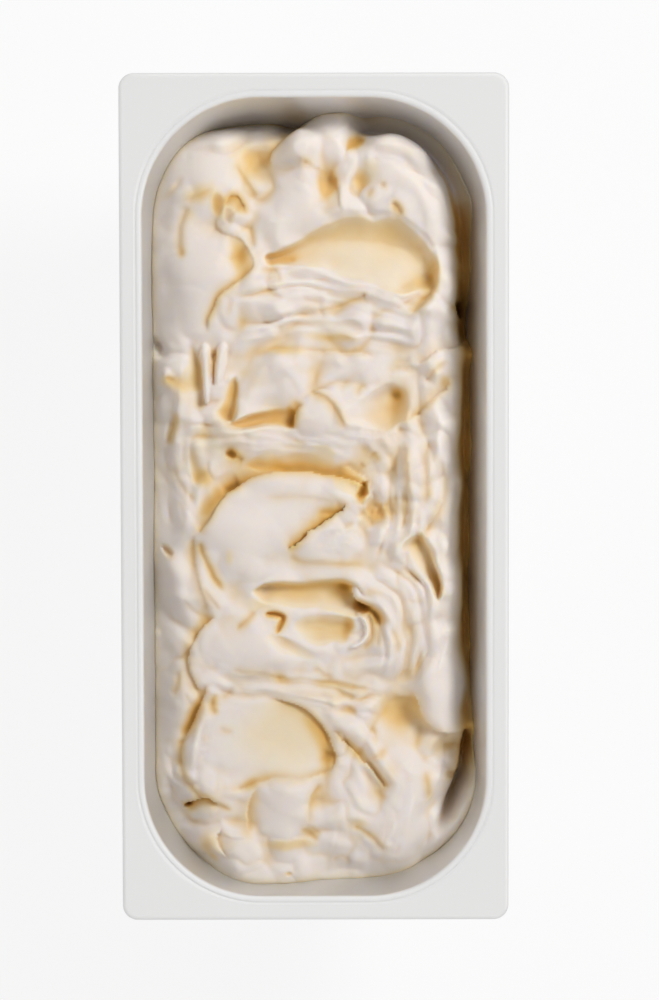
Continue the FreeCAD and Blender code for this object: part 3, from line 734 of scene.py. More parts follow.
def ribbon_work(g):
    """Thin ribbons below the scoop, the sheet by the right wall and the upright slots at the left."""
    for swelling in (
        (6, 84, 40, 9, 1.8, 0, 1.6), (8, 55, 12, 4, -1), (-18, 52, 14, 9, 2.2, 0, 1.5),
        (67, 80, 7, 12, -9, 0, 1.5),
    ):
        g.mound(*swelling)
    g.fold([(46, 80), (42, 84), (35, 87.5), (24, 91), (14, 96), (5, 100.3), (-5, 100.8), (-13, 98.6),
        (-22, 96.8)], 1.2, 0, back=3.4, front=2, ends=(4, 5))
    g.comb([(-24, 92), (0, 93), (22, 87), (42, 80)], 16, 0.8, pitch=2.8)
    g.groove([(-24.2, 97.5), (-18.4, 98.6), (-16.4, 95.4), (-15.4, 91.6)], 1.3, 0.9, glow=0.36, rag=0.5,
        ends=(2, 2))
    g.groove([(-14.6, 96.2), (-9, 97.2), (-3, 95)], 0.7, 0.8, glow=0.1)
    g.fold([(-12, 93), (-7, 95.4), (-2, 93.6), (5, 96), (12, 94.2), (18, 90)], 0.6, 1.1, back=2.4,
        front=2.4, rag=0.2)
    g.groove([(-35.5, 87.2), (-25, 87.8), (-16.3, 91.2)], 0.9, 0.8, glow=0.25)
    g.groove([(-35, 86.6), (-36.4, 82.6), (-38, 78.6)], 0.9, 0.9, glow=0.24, ends=(1.5, 3))
    g.tint(-31.4, 76.8, 1.1, 2.6, glow=0.5, turn=-12)
    g.groove([(-31, 79), (-31.8, 74)], 0.6, 0.9, glow=0.2)
    g.groove([(-1, 80.4), (7, 82), (16, 85.2), (21.2, 87.4)], 1.5, 0.8, glow=0.34, rag=0.35, ends=(3, 0.5))
    g.pit(20.6, 87.3, 0.9, 0.8, 1.4, glow=0.5)
    g.groove([(-9, 86.4), (-2, 84.2), (6, 86.6)], 0.8, 0.9, glow=0.12, rag=0.2)
    g.groove([(-10, 79.4), (-4, 79), (1, 77.6)], 0.9, 0.9, glow=0.2)
    g.scoop([(-15, 73.5), (-3, 74), (12, 73.6), (28, 72)], (4, 6.5, 7, 3), 1.7, rim=0.3, skew=0.2,
        cream=0.25, wall=0.05)
    g.groove([(-15.4, 77), (-14.4, 72.5)], 1, 1.4, glow=0.12)
    g.tint(8, 69, 11, 1.6, cream=1, glow=0.3, turn=-4, power=1.5)
    g.groove([(2, 70), (10, 69.2), (18.4, 68.4)], 0.9, 0.9, glow=0.45, ends=(5, 1.5))
    g.fold([(27, 59.4), (22, 61.4), (12, 63.2), (0, 63.4), (-12, 63.6), (-23, 64.6)], 0.6, 1.3, back=4,
        front=2, glow=0.34, width=1.1, ends=(4, 6))
    g.tint(-15, 63.4, 5, 1.1, glow=0.62, power=1.2)
    g.tint(-14, 63.4, 10, 1.8, cream=1, glow=0.3, power=1.5)

    # right: the hollow by the wall, deep and painted dark with shade, and the cracked sheet in front of it
    g.pit(65.5, 83.5, 3.4, 4.2, 14, glow=1, rag=0.3, turn=20)
    g.groove([(58.8, 83), (61.6, 82), (64, 83.5)], 3, 1, glow=0.85, rag=0.4, ends=(1, 1))
    g.band([(67, 92), (66, 80), (63.5, 70)], 4.6, glow=0.6, ends=(8, 3))
    g.fold([(72, 72.5), (66, 68.2), (60.5, 64.4), (53, 62.2), (49, 59.4), (43, 55.6)], 0.9, 3.2, back=6,
        lean=0.4, glow=0.28, width=2.4, rag=0.45, ends=(1, 5))
    g.groove([(47.6, 50), (51, 52.4), (53, 54.8), (57.8, 58.2)], 1.8, 1, glow=0.45, rag=0.6, ends=(2, 2))
    g.groove([(47.2, 49.6), (49.6, 51.2)], 0.8, 0.8, glow=0.3, ends=(1, 1))
    g.tear(39, 54.4, 7, 1.6, 1)
    g.mound(52, 48, 9, 6, 1.6, turn=35)

    # left: valley, two white fins and two slots
    g.mound(-67.5, 66, 2.2, 3.6, -5, turn=25)
    g.scoop([(-55.5, 69), (-52.5, 58), (-53, 43)], (5, 9.5, 13), 4.4, rim=0.4, blunt=(7, 8), skew=0.55,
        power=1.7, cream=0.9, wall=0.22)
    g.tint(-51, 54, 2.4, 9, glow=0.34, power=1.4)
    g.mound(-60, 49, 5, 4, -1.6)
    g.tint(-60, 48.6, 6.4, 3, cream=1, glow=0.34, turn=-25, power=1.5)
    g.pit(-62.6, 50.6, 2.2, 1.2, 1.2, glow=0.6, turn=-35)
    g.lay([(-47.5, 68), (-47.2, 58), (-46, 41)], (5.5, 3.6, 2.2), 1.8, foot=-5, blunt=(5, 5), power=2.4)
    g.scoop([(-43.2, 67.5), (-43.4, 58), (-44, 46)], (3.8, 3.4, 1.4), 2.6, rim=0.4, blunt=(3, 6), cream=1,
        wall=0.3, soft=0.5)
    g.band([(-43.4, 66), (-43.6, 58), (-44, 50)], 1.5, glow=0.58, ends=(2, 6))
    g.lay([(-39, 70), (-39.6, 60), (-42.4, 48)], (7, 6, 2.4), 1.4, foot=-5, blunt=(6, 5))
    g.scoop([(-33.6, 55), (-36, 45), (-39, 34)], (3, 7.5, 8), 3.6, rim=0.4, blunt=(5, 3), skew=0.45,
        power=1.8, cream=1, wall=0.22)
    g.band([(-34, 53), (-34.4, 48), (-36, 42)], 1.8, glow=0.42, ends=(3, 4))
    g.tint(-38.4, 38, 3.4, 4.6, glow=0.3, turn=-15)
    g.tint(-29.6, 55.2, 2.4, 1, glow=0.32)
    g.groove([(-59.6, 38), (-61, 32), (-62.8, 23.2)], 2.2, 1.1, glow=0.8, glow_width=1, ends=(2, 2))

    # the ball, the yellow band that runs up to it and the hollow at its right
    g.dome(1.8, 36.4, 12.5, 10, 4.2, foot=-3.5, soft=1.4)
    g.scoop([(-36, 32.6), (-20, 34.6), (-8.5, 36)], (3, 7, 11), 4, rim=0.5, blunt=(8, 3), cream=1,
        wall=0.1, end_wall=0.4)
    g.tint(-18, 35, 12, 3.4, cream=1, glow=0.22, turn=5, power=1.6)
    g.fold([(-5.4, 42), (-8.4, 39), (-9.4, 35.4), (-8, 31)], 0.8, 3, back=3, front=2.4, lean=0.3,
        glow=0.95, width=1.8, ends=(2, 2))
    g.fold([(-3, 47), (1.4, 45.2), (7, 42.2), (12, 36.6), (13.8, 30)], 0.8, 2.2, back=2, front=2.2,
        glow=0.62, width=1.5, ends=(4, 4))
    g.scoop([(28.6, 51), (30, 40), (31, 27)], (17, 29, 21), 8, rim=1.2, blunt=(9, 11), skew=0.3, power=1.7,
        cream=0.25, wall=0.34)
    g.tint(37, 41, 4.4, 7, glow=0.46, turn=-20, power=1.4)
    g.pit(35.6, 43.6, 2.6, 2.4, 1, glow=0.74, turn=-30)
    g.groove([(17.6, 43.8), (18.6, 47.4), (22, 49.6)], 1.2, 1, glow=0.42, ends=(2, 2))
    g.fold([(59.6, 53), (57.4, 46.4), (53, 42.6), (48.6, 38), (43.6, 34.8), (39, 32)], 1, 3, back=3,
        glow=0.42, width=2.6, rag=0.5, ends=(2, 5))
    g.tint(57, 49.4, 1.4, 2.4, glow=0.75)
    g.fold([(40, 29), (30, 28.6), (20, 29.4)], 0.5, 1, back=3, front=3, glow=0.2, rag=0.4)
    g.tear(24, 27.4, 12, 3.4, 1, size=1.8)


def near_forms(g):
    """Broad forms of the near two thirds: the disc, the lobes and the ribbons beside them."""
    for swelling in ((-30, -168, 26, 9, 9, 0, 1.2), (8, -170, 22, 8, 5), (-58, -138, 9, 9, -3.5)):
        g.mound(*swelling)
    g.sheet([(-62, 36), (-64, 16), (-60, -4), (-58, -24)], (14, 14, 16, 14), (1.2, 0.6, -2), (4, 5, 6, 6),
        streak=0.5)
    g.sheet([(-56, 33), (-36, 30.5), (-18, 32.5), (-8, 31)], (14, 14, 12, 8), (1, 1.8, -1), (3, 3, 6, 3),
        streak=0.4)
    g.sheet([(-56, 22), (-38, 19.5), (-20, 20.5), (0, 22), (13, 18)], (12, 14, 13, 12, 8), (0, 1, -2),
        (4, 5, 6, 5), streak=0.5)
    g.sheet([(61, 40), (61, 20), (59, 0), (58, -20)], (16, 16, 16, 16), (-2, 1.2, 0), (4, 4, 6, 6),
        streak=0.7)
    g.sheet([(30, 27), (38, 10), (40, -6), (37, -24)], (20, 20, 18, 14), (-0.5, 1.6, -1.5), (4, 4, 6, 6),
        streak=0.8)
    g.sheet([(-62, -24), (-60, -44), (-52, -60)], (14, 15, 11), (0.6, 1.6, -2), (4, 4, 6, 6), streak=0.4)
    g.sheet([(46, -14), (56, -32), (56, -58), (47, -84)], (18, 22, 22, 16), (-2, 2.6, 0), (5, 5, 5, 6),
        streak=0.8)
    g.sheet([(14, -34), (30, -43), (35, -58), (27, -72), (6, -76)], (12, 15, 17, 15, 10), (1.4, 1, -1),
        (4, 3, 5, 6), streak=0.8)
    g.mound(-30, -66, 20, 9, 4, turn=-6, power=1.5)
    g.sheet([(-46, -79), (-20, -81), (8, -85.5), (31, -90)], (12, 12, 13, 11), (0, 1, -0.8), (4, 4, 6, 5),
        streak=0.8)
    g.sheet([(2, -90), (14, -102), (24, -114), (33, -125)], (14, 16, 16, 12), (1.6, 1.8, -2), (4, 3, 5, 4))
    for swelling in (
        (39, -92, 9, 12, -6.5, -8, 1.3), (58, -86, 13, 17, 4.2, 0, 1.6), (60, -112, 10, 7, -6, -8),
        (38, -113, 12, 7, 2.6, -15), (55, -125, 7, 9, -1.5), (14, -134, 10, 13, 3.2, 0, 1.4),
        (31, -141, 10, 10, 2), (-15, -135, 13, 11.5, 4.6, 10, 1.6), (-33, -137, 5.5, 10, -3.6, -14),
        (-33, -153, 11, 9, 3.4, 18, 1.4), (-47, -147, 6.5, 10, 1.4, 10), (6, -158, 20, 4, 1.2),
        (-22, -12, 27, 21, 3.6, 0, 1.6), (-49, -112, 6, 17, 2.2), (-24, -104, 26, 18, 1.6, 0, 2.2),
    ):
        g.mound(*swelling)


def calmed(g):
    """Where a last sweep left the forms smooth."""
    for place in (
        (-54, 95, 15, 24), (-22, -11, 26, 18), (-22, -104, 28, 18), (-16, -135, 13, 10),
        (-32, -66, 18, 8), (58, -86, 11, 15), (-9, 127, 10, 10), (1.5, 36, 10, 8), (-48, 142, 14, 8),
    ):
        g.calm(*place)


def ball_side_work(g):
    """The yellow valley over the disc, and the bands round it."""
    g.fold([(-6, 31.2), (-18, 30.6), (-30, 29.6), (-44, 32.5)], 0.6, 1.2, back=3, front=2.6, glow=0.2,
        width=1.6, ends=(3, 6))
    g.comb([(-56, 27), (-30, 24), (0, 24), (14, 20)], 13, 0.7, pitch=2.6)
    g.comb([(-64, 40), (-65, 16), (-60, -6)], 12, 0.8, pitch=3.2)
    g.tint(-44, 24, 12, 7, cream=0.8, power=1.4)
    g.groove([(-10, 26.4), (-6, 24.6), (-3.4, 22.2)], 1.1, 1, glow=0.25, rag=0.5, ends=(2, 2))
    g.pit(-35.4, 18.8, 2.9, 3.2, 2.8, glow=0.68, turn=18, power=1.6, rag=0.25)
    g.tint(-35, 20.5, 1, 1.6, glow=0.86)
    g.groove([(-35.6, 21), (-33, 17.6), (-29.6, 15.4)], 2, 1.1, glow=0.75, ends=(1, 1))
    g.tint(-33.5, 17, 4.5, 3.5, cream=1, glow=0.24)
    g.scoop([(-54, 24), (-52.6, 14), (-48, 5.6)], (2.5, 6.5, 10), 2.6, rim=0.3, blunt=(5, 4), skew=-0.4,
        power=1.8, cream=1)
    g.tint(-48, 8.4, 5.2, 4, cream=1, glow=0.46, turn=-35, power=2)
    g.band([(-53, 22), (-51.8, 15), (-49, 9)], 1.6, glow=0.34, ends=(4, 3))
    g.fold([(-46.4, 17), (-45.4, 11), (-41, 6.4)], 0.8, 1.2, back=2.4, front=2, glow=0.3, width=1.2,
        ends=(3, 3))
    g.groove([(-62, 14), (-60.5, 6), (-56, 0.4), (-50.6, -2.2)], 1.1, 1.3, glow=0.24, ends=(4, 3))
    # the valley: a smooth cream trough that deepens to a corner on the right, painted dark with shade
    g.scoop([(-32, 14), (-18, 17), (0, 16), (14, 10), (24, 1)], (4, 12, 17, 17, 9), 3, rim=1.2,
        blunt=(9, 4), skew=-0.4, power=1.5, cream=1, end_wall=0.75)
    for offset, strength in ((0.0, 0.10), (3.2, 0.16), (6.2, 0.24)):
        streak = [(-26, 20 - offset), (-8, 20.6 - offset), (8, 18 - offset), (18, 12 - offset)]
        g.band(streak, 1.3, glow=strength, ends=(10, 5))
    g.band([(-24, 13.4), (-6, 13.4), (8, 10.6), (18, 6.8)], 2.6, glow=0.5, ends=(9, 3))
    g.fold([(26, 1.5), (20, 5.5), (10, 8.6), (0, 10.7), (-14, 11.8), (-25, 10.4), (-31.5, 6.6),
        (-37.4, 1.8), (-41.6, -5.4), (-46.6, -14.6), (-50.6, -16.6)], 1.2, 3.6, back=4.5, lean=0.6,
        glow=0.62, width=3.4, ends=(4, 2), lip=2.4, crack=0.1)
    g.mound(-46, -2, 4, 9, -2.2, turn=-32)
    g.band([(-38.6, 4.4), (-43.6, -3), (-48.4, -11.4)], 3, glow=0.58, ends=(3, 4))
    g.groove([(-31, 7.4), (-35, 5.4), (-39, 2.2)], 3.2, 1.5, glow=1, glow_width=1.7, ends=(2, 2))
    g.pit(21.6, 1.8, 3.2, 5.2, 5, glow=0.8, turn=-24, power=1.8, rag=0.2)
    g.band([(6, 12), (14, 9.6), (20, 6)], 3, glow=0.66, ends=(5, 1))
    g.fold([(27.6, -2.5), (25.6, 2), (24, 6.4), (18, 11.4), (11, 15.4)], 1, 2, back=2.4, front=2.4,
        rag=0.5, ends=(2, 5))
    g.groove([(-23, 1.4), (-10, 1.6), (2, -0.6), (8, -3)], 0.7, 1.4, glow=0.18, ends=(8, 3))
    g.mound(-12, -8, 11, 8, 1.2)

    # upright ribbons to its right
    g.comb([(28, 27), (37, 12), (38, -8), (34, -28)], 20, 1, pitch=3, painted_fold_shade=0.25)
    g.groove([(25.4, 20.4), (28, 17.6), (29, 14)], 1.9, 1.3, glow=0.45, rag=0.5, ends=(2, 2))
    g.groove([(20.6, 15.6), (22.6, 12.6)], 1.3, 1.2, glow=0.35, ends=(1, 1))
    g.fold([(38, 25), (41, 13), (41.6, 2), (39.6, -8), (37.4, -15)], 1, 2, back=4, front=3, glow=0.42,
        width=1.5, rag=0.2, ends=(5, 4))
    g.fold([(50, 26), (49.4, 14), (48.6, 4), (48.6, -4)], 0.6, 1.3, back=3, front=1.8, glow=0.45, width=1,
        ends=(5, 4))
    g.fold([(43.4, -17.6), (50, -14.4), (54.6, -5), (55.8, 6), (54, 18)], 0.8, 1.8, back=4, front=2.2,
        glow=0.4, width=1.2, ends=(3, 8))
    g.mound(44.6, -1, 4, 14, 1.2)
    g.tint(48.8, 2.6, 0.9, 3.2, glow=0.55)
    g.tear(26, -6, 8, 6, 2.6, size=2)
    g.mound(27, -7, 6, 5, -2.4)
    g.tint(27, -7, 5.5, 4.5, glow=0.36, power=1.5)
    g.tear(12, -17, 13, 7, 1, turn=15, size=2)

    # the torn fold over the disc
    g.fold([(14, -3), (10.8, -6.6), (5.4, -10), (0, -13), (-5, -16.4), (-9, -20), (-12, -22.4)], 1.6, 5,
        back=8, front=3.6, lean=1.2, glow=0.8, width=2.4, rag=0.6, ends=(2, 2), crack=0.35)
    g.band([(-2, -9), (5, -6.6), (11, -4)], 2.6, cream=1, glow=0.42, ends=(5, 1))
    g.tint(-9.4, -20.8, 2.6, 1.5, glow=0.75, turn=35)
    g.groove([(-12, -24), (-8, -26), (0, -28.4), (12, -29.6), (23.6, -29.4)], 0.8, 1.3, glow=0.34,
        ends=(2, 4))
    g.mound(5, -35, 24, 4, 0.9)

    # nested creases at the disc's left
    g.fold([(-51.8, -16), (-51.2, -26), (-48.6, -38), (-44.2, -51)], 0.9, 1.5, back=3, front=3, glow=0.4,
        width=1.8, ends=(3, 3), lip=1.8, crack=0.1)
    g.groove([(-49, -19.6), (-46.6, -27), (-43.4, -33.4), (-38.4, -41)], 2, 1.2, glow=0.7, glow_width=1.1,
        ends=(2, 5), rag=0.2)
    g.groove([(-47, -38), (-44, -44), (-40, -49)], 1.1, 0.8, glow=0.35, ends=(3, 2))
    g.groove([(-57.4, -41), (-54, -47), (-50, -51), (-44, -53)], 0.9, 1.1, glow=0.18)
    g.pit(-63.6, -22.6, 3.6, 1.9, 3, turn=-30, glow=0.42)
    g.tint(-61.4, -24.4, 1.3, 1.3, glow=0.6)
    g.band([(-36, -22), (-36.6, -30)], 1.4, cream=1, glow=0.14, ends=(3, 3))

    # the two hollows of one stroke
    g.scoop([(-27, -41.4), (-8, -42.8), (8, -43.4), (17, -45.4), (24, -50.6)], (5, 12, 16, 17, 8), 7,
        rim=1, blunt=(8, 5), skew=0.3, power=1.9, cream=1, wall=0.34, end_wall=0.85)
    g.tint(12, -39.6, 4.6, 3, glow=0.78, turn=-20)
    g.scoop([(-12, -54.6), (4, -57), (18, -58)], (10, 16, 14), 6, rim=0.2, blunt=(17, 6), skew=0.1,
        power=1.9, cream=0.8, wall=0.1, end_wall=0.8)
    g.comb([(-6, -56), (6, -57.4), (20, -58)], 12, 0.9, pitch=2.4, ends=(5, 2), painted_fold_shade=0.3)
    for side, strength in ((-3.4, 0.20), (0.0, 0.10), (3.4, 0.24)):
        streak = [(-2, -57 + side), (10, -57.6 + side), (18, -57.6 + 0.6 * side)]
        g.band(streak, 1.1, glow=strength, ends=(6, 3))
    g.lay([(17.4, -37), (19, -42.6), (24.6, -44.4), (30.6, -46.6)], (4, 5.5, 6, 4), 2.2, foot=-5,
        blunt=(4, 4))
    g.tint(25.4, -40.8, 3.6, 0.8, glow=0.5, turn=-6)
    g.groove([(17, -45.6), (23, -47.8), (27.4, -50.8), (29.4, -56)], 3, 1.8, glow=1, glow_width=2,
        ends=(2, 3))
    g.lay([(18.4, -50.6), (22.6, -53.6), (23.6, -58.6), (20.4, -63.4), (14, -65.6)],
        (2.4, 2.8, 2.8, 2.8, 2.2), 1.2, foot=-7, blunt=(3, 4))
    g.groove([(23.6, -51), (26, -56), (25.4, -61.6), (20.6, -66.6)], 1.9, 0.8, glow=0.62, ends=(2, 3))
    g.groove([(28.4, -53), (28.6, -59), (27, -65.4)], 1.5, 0.8, glow=0.45, ends=(2, 3))
    g.groove([(33.6, -55.4), (35, -61), (34.2, -67.6)], 1.1, 0.9, glow=0.42, ends=(3, 3))
    g.groove([(41.4, -54), (42, -60), (40, -67)], 1, 1, glow=0.22, ends=(3, 3))
    g.comb([(30, -36), (40, -50), (42, -66), (36, -82)], 18, 1, pitch=3.2, painted_fold_shade=0.22)
    g.scoop([(-21.4, -50.6), (-15, -51), (-12.6, -52.6), (-16.6, -59)], (2.2, 3.4, 3.4, 1.4), 4, rim=0.3,
        blunt=(2, 2), cream=1, wall=0.4)
    g.band([(-21.3, -50.6), (-14, -51), (-12.6, -53.6), (-17, -59)], 1.3, glow=0.72, ends=(1, 2))
    g.groove([(-25, -48.6), (-29, -52.6), (-34.4, -56.8)], 1.6, 1.1, glow=0.55, ends=(2, 3))
    g.band([(-38, -51.6), (-35, -52)], 0.9, glow=0.4, ends=(1, 1))
    g.tint(-22, -46.4, 7, 3, cream=1, glow=0.1)

    # the grey fold below them and its left edge
    g.fold([(-41.5, -52.8), (-44.6, -54.6), (-49.4, -58.6), (-53.8, -65), (-55.4, -72), (-54, -79),
        (-49.6, -86)], 0.9, 2.8, back=4, front=3.2, lean=0.4, glow=0.46, width=2.2, rag=0.2, ends=(1.5, 6))
    g.tint(-55.6, -66, 2, 5.5, glow=0.36, turn=-15)
    g.groove([(-60.4, -74), (-60, -79.6), (-63, -85.6)], 1.7, 1.1, glow=0.5, ends=(3, 2))
    g.groove([(-57.6, -84), (-55.6, -88), (-54, -91)], 0.8, 0.8, glow=0.25, ends=(2, 2))
    g.scoop([(-18, -60), (-6, -65.6), (4, -71.6)], (4, 8, 6), 2, rim=0.5, blunt=(7, 8), skew=0.2)
    g.groove([(-2, -71), (3, -76), (8, -79.2)], 1.2, 1.1, glow=0.3, rag=0.5, ends=(4, 3))
    g.fold([(-12.6, -77.8), (-25, -75.4), (-38, -73.4)], 0.5, 1.4, back=3, front=2.2, glow=0.38, width=1.4,
        ends=(1.5, 5))
    g.tint(-15.6, -77.4, 3.2, 0.9, glow=0.72, turn=-5, power=1.3)
    g.scoop([(-6, -79.6), (8, -80.6), (23, -83)], (3.4, 4.6, 4), 2.2, rim=0.4, blunt=(8, 4), skew=0.1,
        cream=1, wall=0.15)
    g.band([(-4, -80), (10, -81), (23.6, -83.4)], 1.8, glow=0.32, ends=(6, 2))
    g.fold([(29, -89.6), (14, -87), (2, -86), (-14, -85)], 0.5, 0.9, back=2.4, front=1.8, glow=0.24,
        rag=0.3)
    g.fold([(21, -93.8), (10, -92.2), (0, -91)], 0.5, 0.9, back=2.4, front=1.8, glow=0.22)
    g.comb([(-40, -79), (-10, -82), (14, -86), (32, -90)], 14, 0.6, pitch=2.2)


def right_work(g):
    """Long ribbons down the right, which fan into a dip with painted brown shade, and the smooth lobe beside
    it.
    """
    g.scoop([(42.6, -17), (46, -25), (49.6, -35), (53, -45)], (9, 9, 6.4, 1.6), 4.6, rim=0.4, blunt=(4, 6),
        skew=0.45, power=1.8, cream=0.8, wall=0.2)
    g.band([(48, -16), (46, -19), (43, -22)], 1.8, glow=0.3, ends=(2, 2))
    g.band([(50.4, -33), (52, -39), (53.4, -44)], 1.2, glow=0.66, ends=(3, 1))
    g.fold([(48, -16), (51.4, -24), (52.4, -34), (54, -46)], 0.9, 1.2, back=2.4, front=1.8, ends=(2, 2),
        lip=0.8)
    g.groove([(40.4, -31), (42.6, -34.6), (44.4, -38)], 1, 0.9, glow=0.3, ends=(2, 2))
    g.dome(55.4, -21, 3.4, 4.6, 2.6, foot=-3, soft=1)
    g.fold([(54, -46), (58, -56), (57.4, -66), (51, -76)], 0.6, 1.6, back=3.5, front=3)
    g.mound(50, -58, 6, 17, 1.8, turn=8)
    for step in range(5):
        top, middle = (41.5 + 3.6 * step, -62 - 0.5 * step), (40.6 + 2.2 * step, -71)
        crease = [top, middle, (38.4 + 0.9 * step, -81)]
        g.groove(crease, 1.0, 0.9, glow=0.12, rag=0.2, ends=(8, 3))
    g.tint(38, -93, 9, 10, cream=1, glow=0.12, turn=-8, power=1.4)
    g.tint(40, -96, 6, 5, glow=0.18, power=1.4)
    g.fold([(42.6, -82), (45.4, -89), (48.6, -96.6), (54, -101), (62, -102.8), (69, -103)], 1, 5, back=8,
        front=6.5, lean=0.8, glow=0.34, width=5, ends=(5, 1), lip=2.4, crack=0.05)
    g.tint(59, -108, 9, 5.5, glow=0.34, turn=-6, power=1.4)
    g.tint(46.6, -106.4, 2.2, 1.6, glow=0.3)
    g.fold([(30.6, -127), (24.6, -119), (18.6, -112.6), (14, -107), (6, -100.6)], 0.8, 2.4, back=4,
        front=2.4, lean=0.3, glow=0.66, width=1.9, rag=0.5, ends=(2, 4))
    g.groove([(27, -100), (25.8, -104), (26.6, -107)], 1.1, 1.3, glow=0.32, ends=(2, 2))
    g.fold([(31.4, -109.8), (27.6, -112), (23.5, -113.4)], 0.6, 1.6, back=3, front=1.8, glow=0.5,
        width=1.2, rag=0.5, ends=(1, 2))
    g.tint(30, -110, 1.4, 1.2, glow=0.6)
    g.groove([(46.6, -119), (47.4, -124), (49.4, -131)], 1.8, 1.5, glow=0.48, ends=(3, 2))
    g.tint(49.2, -129.8, 1.1, 1.9, glow=0.72)
    g.pit(60.4, -124, 4.6, 2, 3, glow=0.5, turn=-20, power=1.6)
    g.mound(64, -128, 6, 12, -3, turn=-25)
    g.groove([(68.4, -100), (67.2, -120), (61.6, -136), (52, -149)], 30, 3.2, ends=(8, 18), sharp=2.4)
    g.tint(33, -116.6, 2.6, 3, glow=0.2)


def near_work(g):
    """The spatula's broad face, the groove round its left and the lobes at the near end."""
    g.calm(-22, -104, 27, 17, power=3, cells=8)
    g.calm(-22, -104, 25, 16, power=3, cells=8)
    g.mound(-17, -105, 20, 13, -2.6)
    g.tint(-16, -104, 20, 16, cream=1, power=2)
    g.fold([(-24, -86), (-10, -89.6), (0, -96.6), (6, -104.6), (9.4, -113), (8.4, -120)], 1.2, 3.4, back=5,
        front=4, glow=0.4, width=3.4, ends=(12, 2), lip=1, crack=0.3)
    g.band([(-10, -92), (-1.5, -99), (3.6, -106), (6, -114)], 3.4, glow=0.5, ends=(12, 5))
    g.tint(5.4, -113, 3.2, 7, glow=0.46, turn=12)
    g.fold([(9, -119.6), (0, -121), (-10, -121.6), (-22, -123.2), (-30, -126), (-42, -128)], 0.6, 1.6,
        back=4, front=3, glow=0.34, width=1.6, ends=(2, 8), rag=0.15, lip=1.8, crack=0.1)
    g.tint(-27.6, -124.6, 4.2, 1.7, glow=0.66, turn=14, power=1.4)
    g.groove([(-44, -86), (-45.8, -91), (-43.6, -95.6)], 1.6, 1.1, glow=0.9, ends=(1, 2))
    g.groove([(-42.6, -100.2), (-40, -102), (-36.4, -101.4)], 0.7, 0.8, glow=0.45, ends=(1, 1), rag=0.4)
    g.tear(-49, -107, 2.4, 8, 0.7)
    g.tint(-48.6, -105, 0.9, 1, glow=0.4)
    g.fold([(-50.6, -126), (-52, -118), (-52, -108), (-49, -98)], 0.9, 0.6, back=2, front=2, ends=(4, 4))

    # the groove round its left, painted brown with shade, and the hole at its end, painted dark
    g.fold([(-48, -81), (-49, -87), (-52.6, -95), (-57.4, -105)], 1, 2, back=3, front=3, lean=0.4,
        glow=0.5, width=2.4, ends=(4, 3), crack=0.1)
    g.mound(-54, -96, 3.2, 11, -3, turn=-24)
    g.band([(-50, -87), (-54, -95), (-58, -104)], 3, glow=0.62, ends=(4, 4))
    g.groove([(-57.4, -103), (-58.8, -110), (-57.8, -118.6), (-53.6, -127), (-47.7, -132), (-41.3, -134.4),
        (-35, -136)], 2, 1.3, glow=0.52, glow_width=1.2, ends=(4, 4))
    g.fold([(-58, -134.6), (-53, -131.8), (-48, -131.6), (-42, -134.4)], 0.8, 4, back=3, front=3, lean=0.4,
        glow=0.72, width=2.6, ends=(1, 3))
    g.pit(-56, -134, 1.9, 1.2, 7, glow=1, turn=15)

    # lobes at the near end
    g.fold([(-38.6, -157), (-42, -151.6), (-43, -147), (-40.4, -142.4)], 1.4, 4.4, back=5, lean=0.3,
        glow=0.3, width=3.4, ends=(3, 5), lip=2)
    g.tint(-46.6, -151, 3.4, 5.4, glow=0.38, turn=-12)
    g.tint(-45, -156.4, 1.8, 2.4, glow=0.52)
    g.fold([(-28.6, -147), (-29.6, -139), (-29, -131), (-24, -125.6)], 0.8, 2, back=4, front=4.6,
        glow=0.26, width=3, ends=(3, 4), lip=2)
    g.tint(-29.6, -145, 2.6, 3.6, glow=0.32)
    g.fold([(-3.4, -143), (-3.8, -136), (-2.6, -129), (2, -124)], 0.8, 1.4, back=4, front=2.4, glow=0.36,
        width=1.4, ends=(3, 3))
    g.groove([(-7.5, -144), (-3, -146), (1.5, -149.6)], 0.9, 0.8, glow=0.48, rag=0.4, ends=(2, 2))
    g.groove([(-5.6, -142), (-1, -144.4), (2, -147)], 0.7, 0.7, glow=0.36, rag=0.4, ends=(2, 2))
    g.fold([(2, -148.4), (-10, -147.8), (-22, -148.6)], 0.3, 0.9, back=2, front=4, ends=(2, 3))
    g.tint(-11.4, -150.8, 11, 2.6, cream=1, glow=0.22, power=3)
    g.groove([(15, -142), (21.4, -143.6), (27, -148), (31.6, -152.4)], 1.6, 1, glow=0.52, ends=(3, 2),
        rag=0.2)
    g.mound(18, -141, 5, 2.6, -1.4)
    g.tint(18, -141, 4.4, 2.2, cream=1, glow=0.18)
    g.groove([(7, -158), (10, -155.4), (13, -156), (16.6, -160)], 0.8, 1.1, glow=0.16, rag=0.2,
        ends=(2, 2))
    g.groove([(27, -126.6), (28.6, -129.6), (31, -131)], 1.1, 1.2, glow=0.36, ends=(2, 2))
    g.pit(-12, -163.8, 1.8, 1, 0.9, glow=0.4)
    g.comb([(6, -126), (12, -140), (10, -156)], 15, 0.6, pitch=3.6)
    g.comb([(30, -130), (36, -144), (30, -158)], 16, 0.7, pitch=3.6)


ALL_STROKES = (
    near_forms, far_forms, settled, calmed,
    far_work, ribbon_work, ball_side_work, right_work, near_work,
)

def half_span(y, width, length, radius):
    """Half the width of a rounded outline at a distance along it."""
    past = np.clip(np.abs(y) - (length / 2 - radius), 0, radius)
    return width / 2 - radius + np.sqrt(radius**2 - past**2)


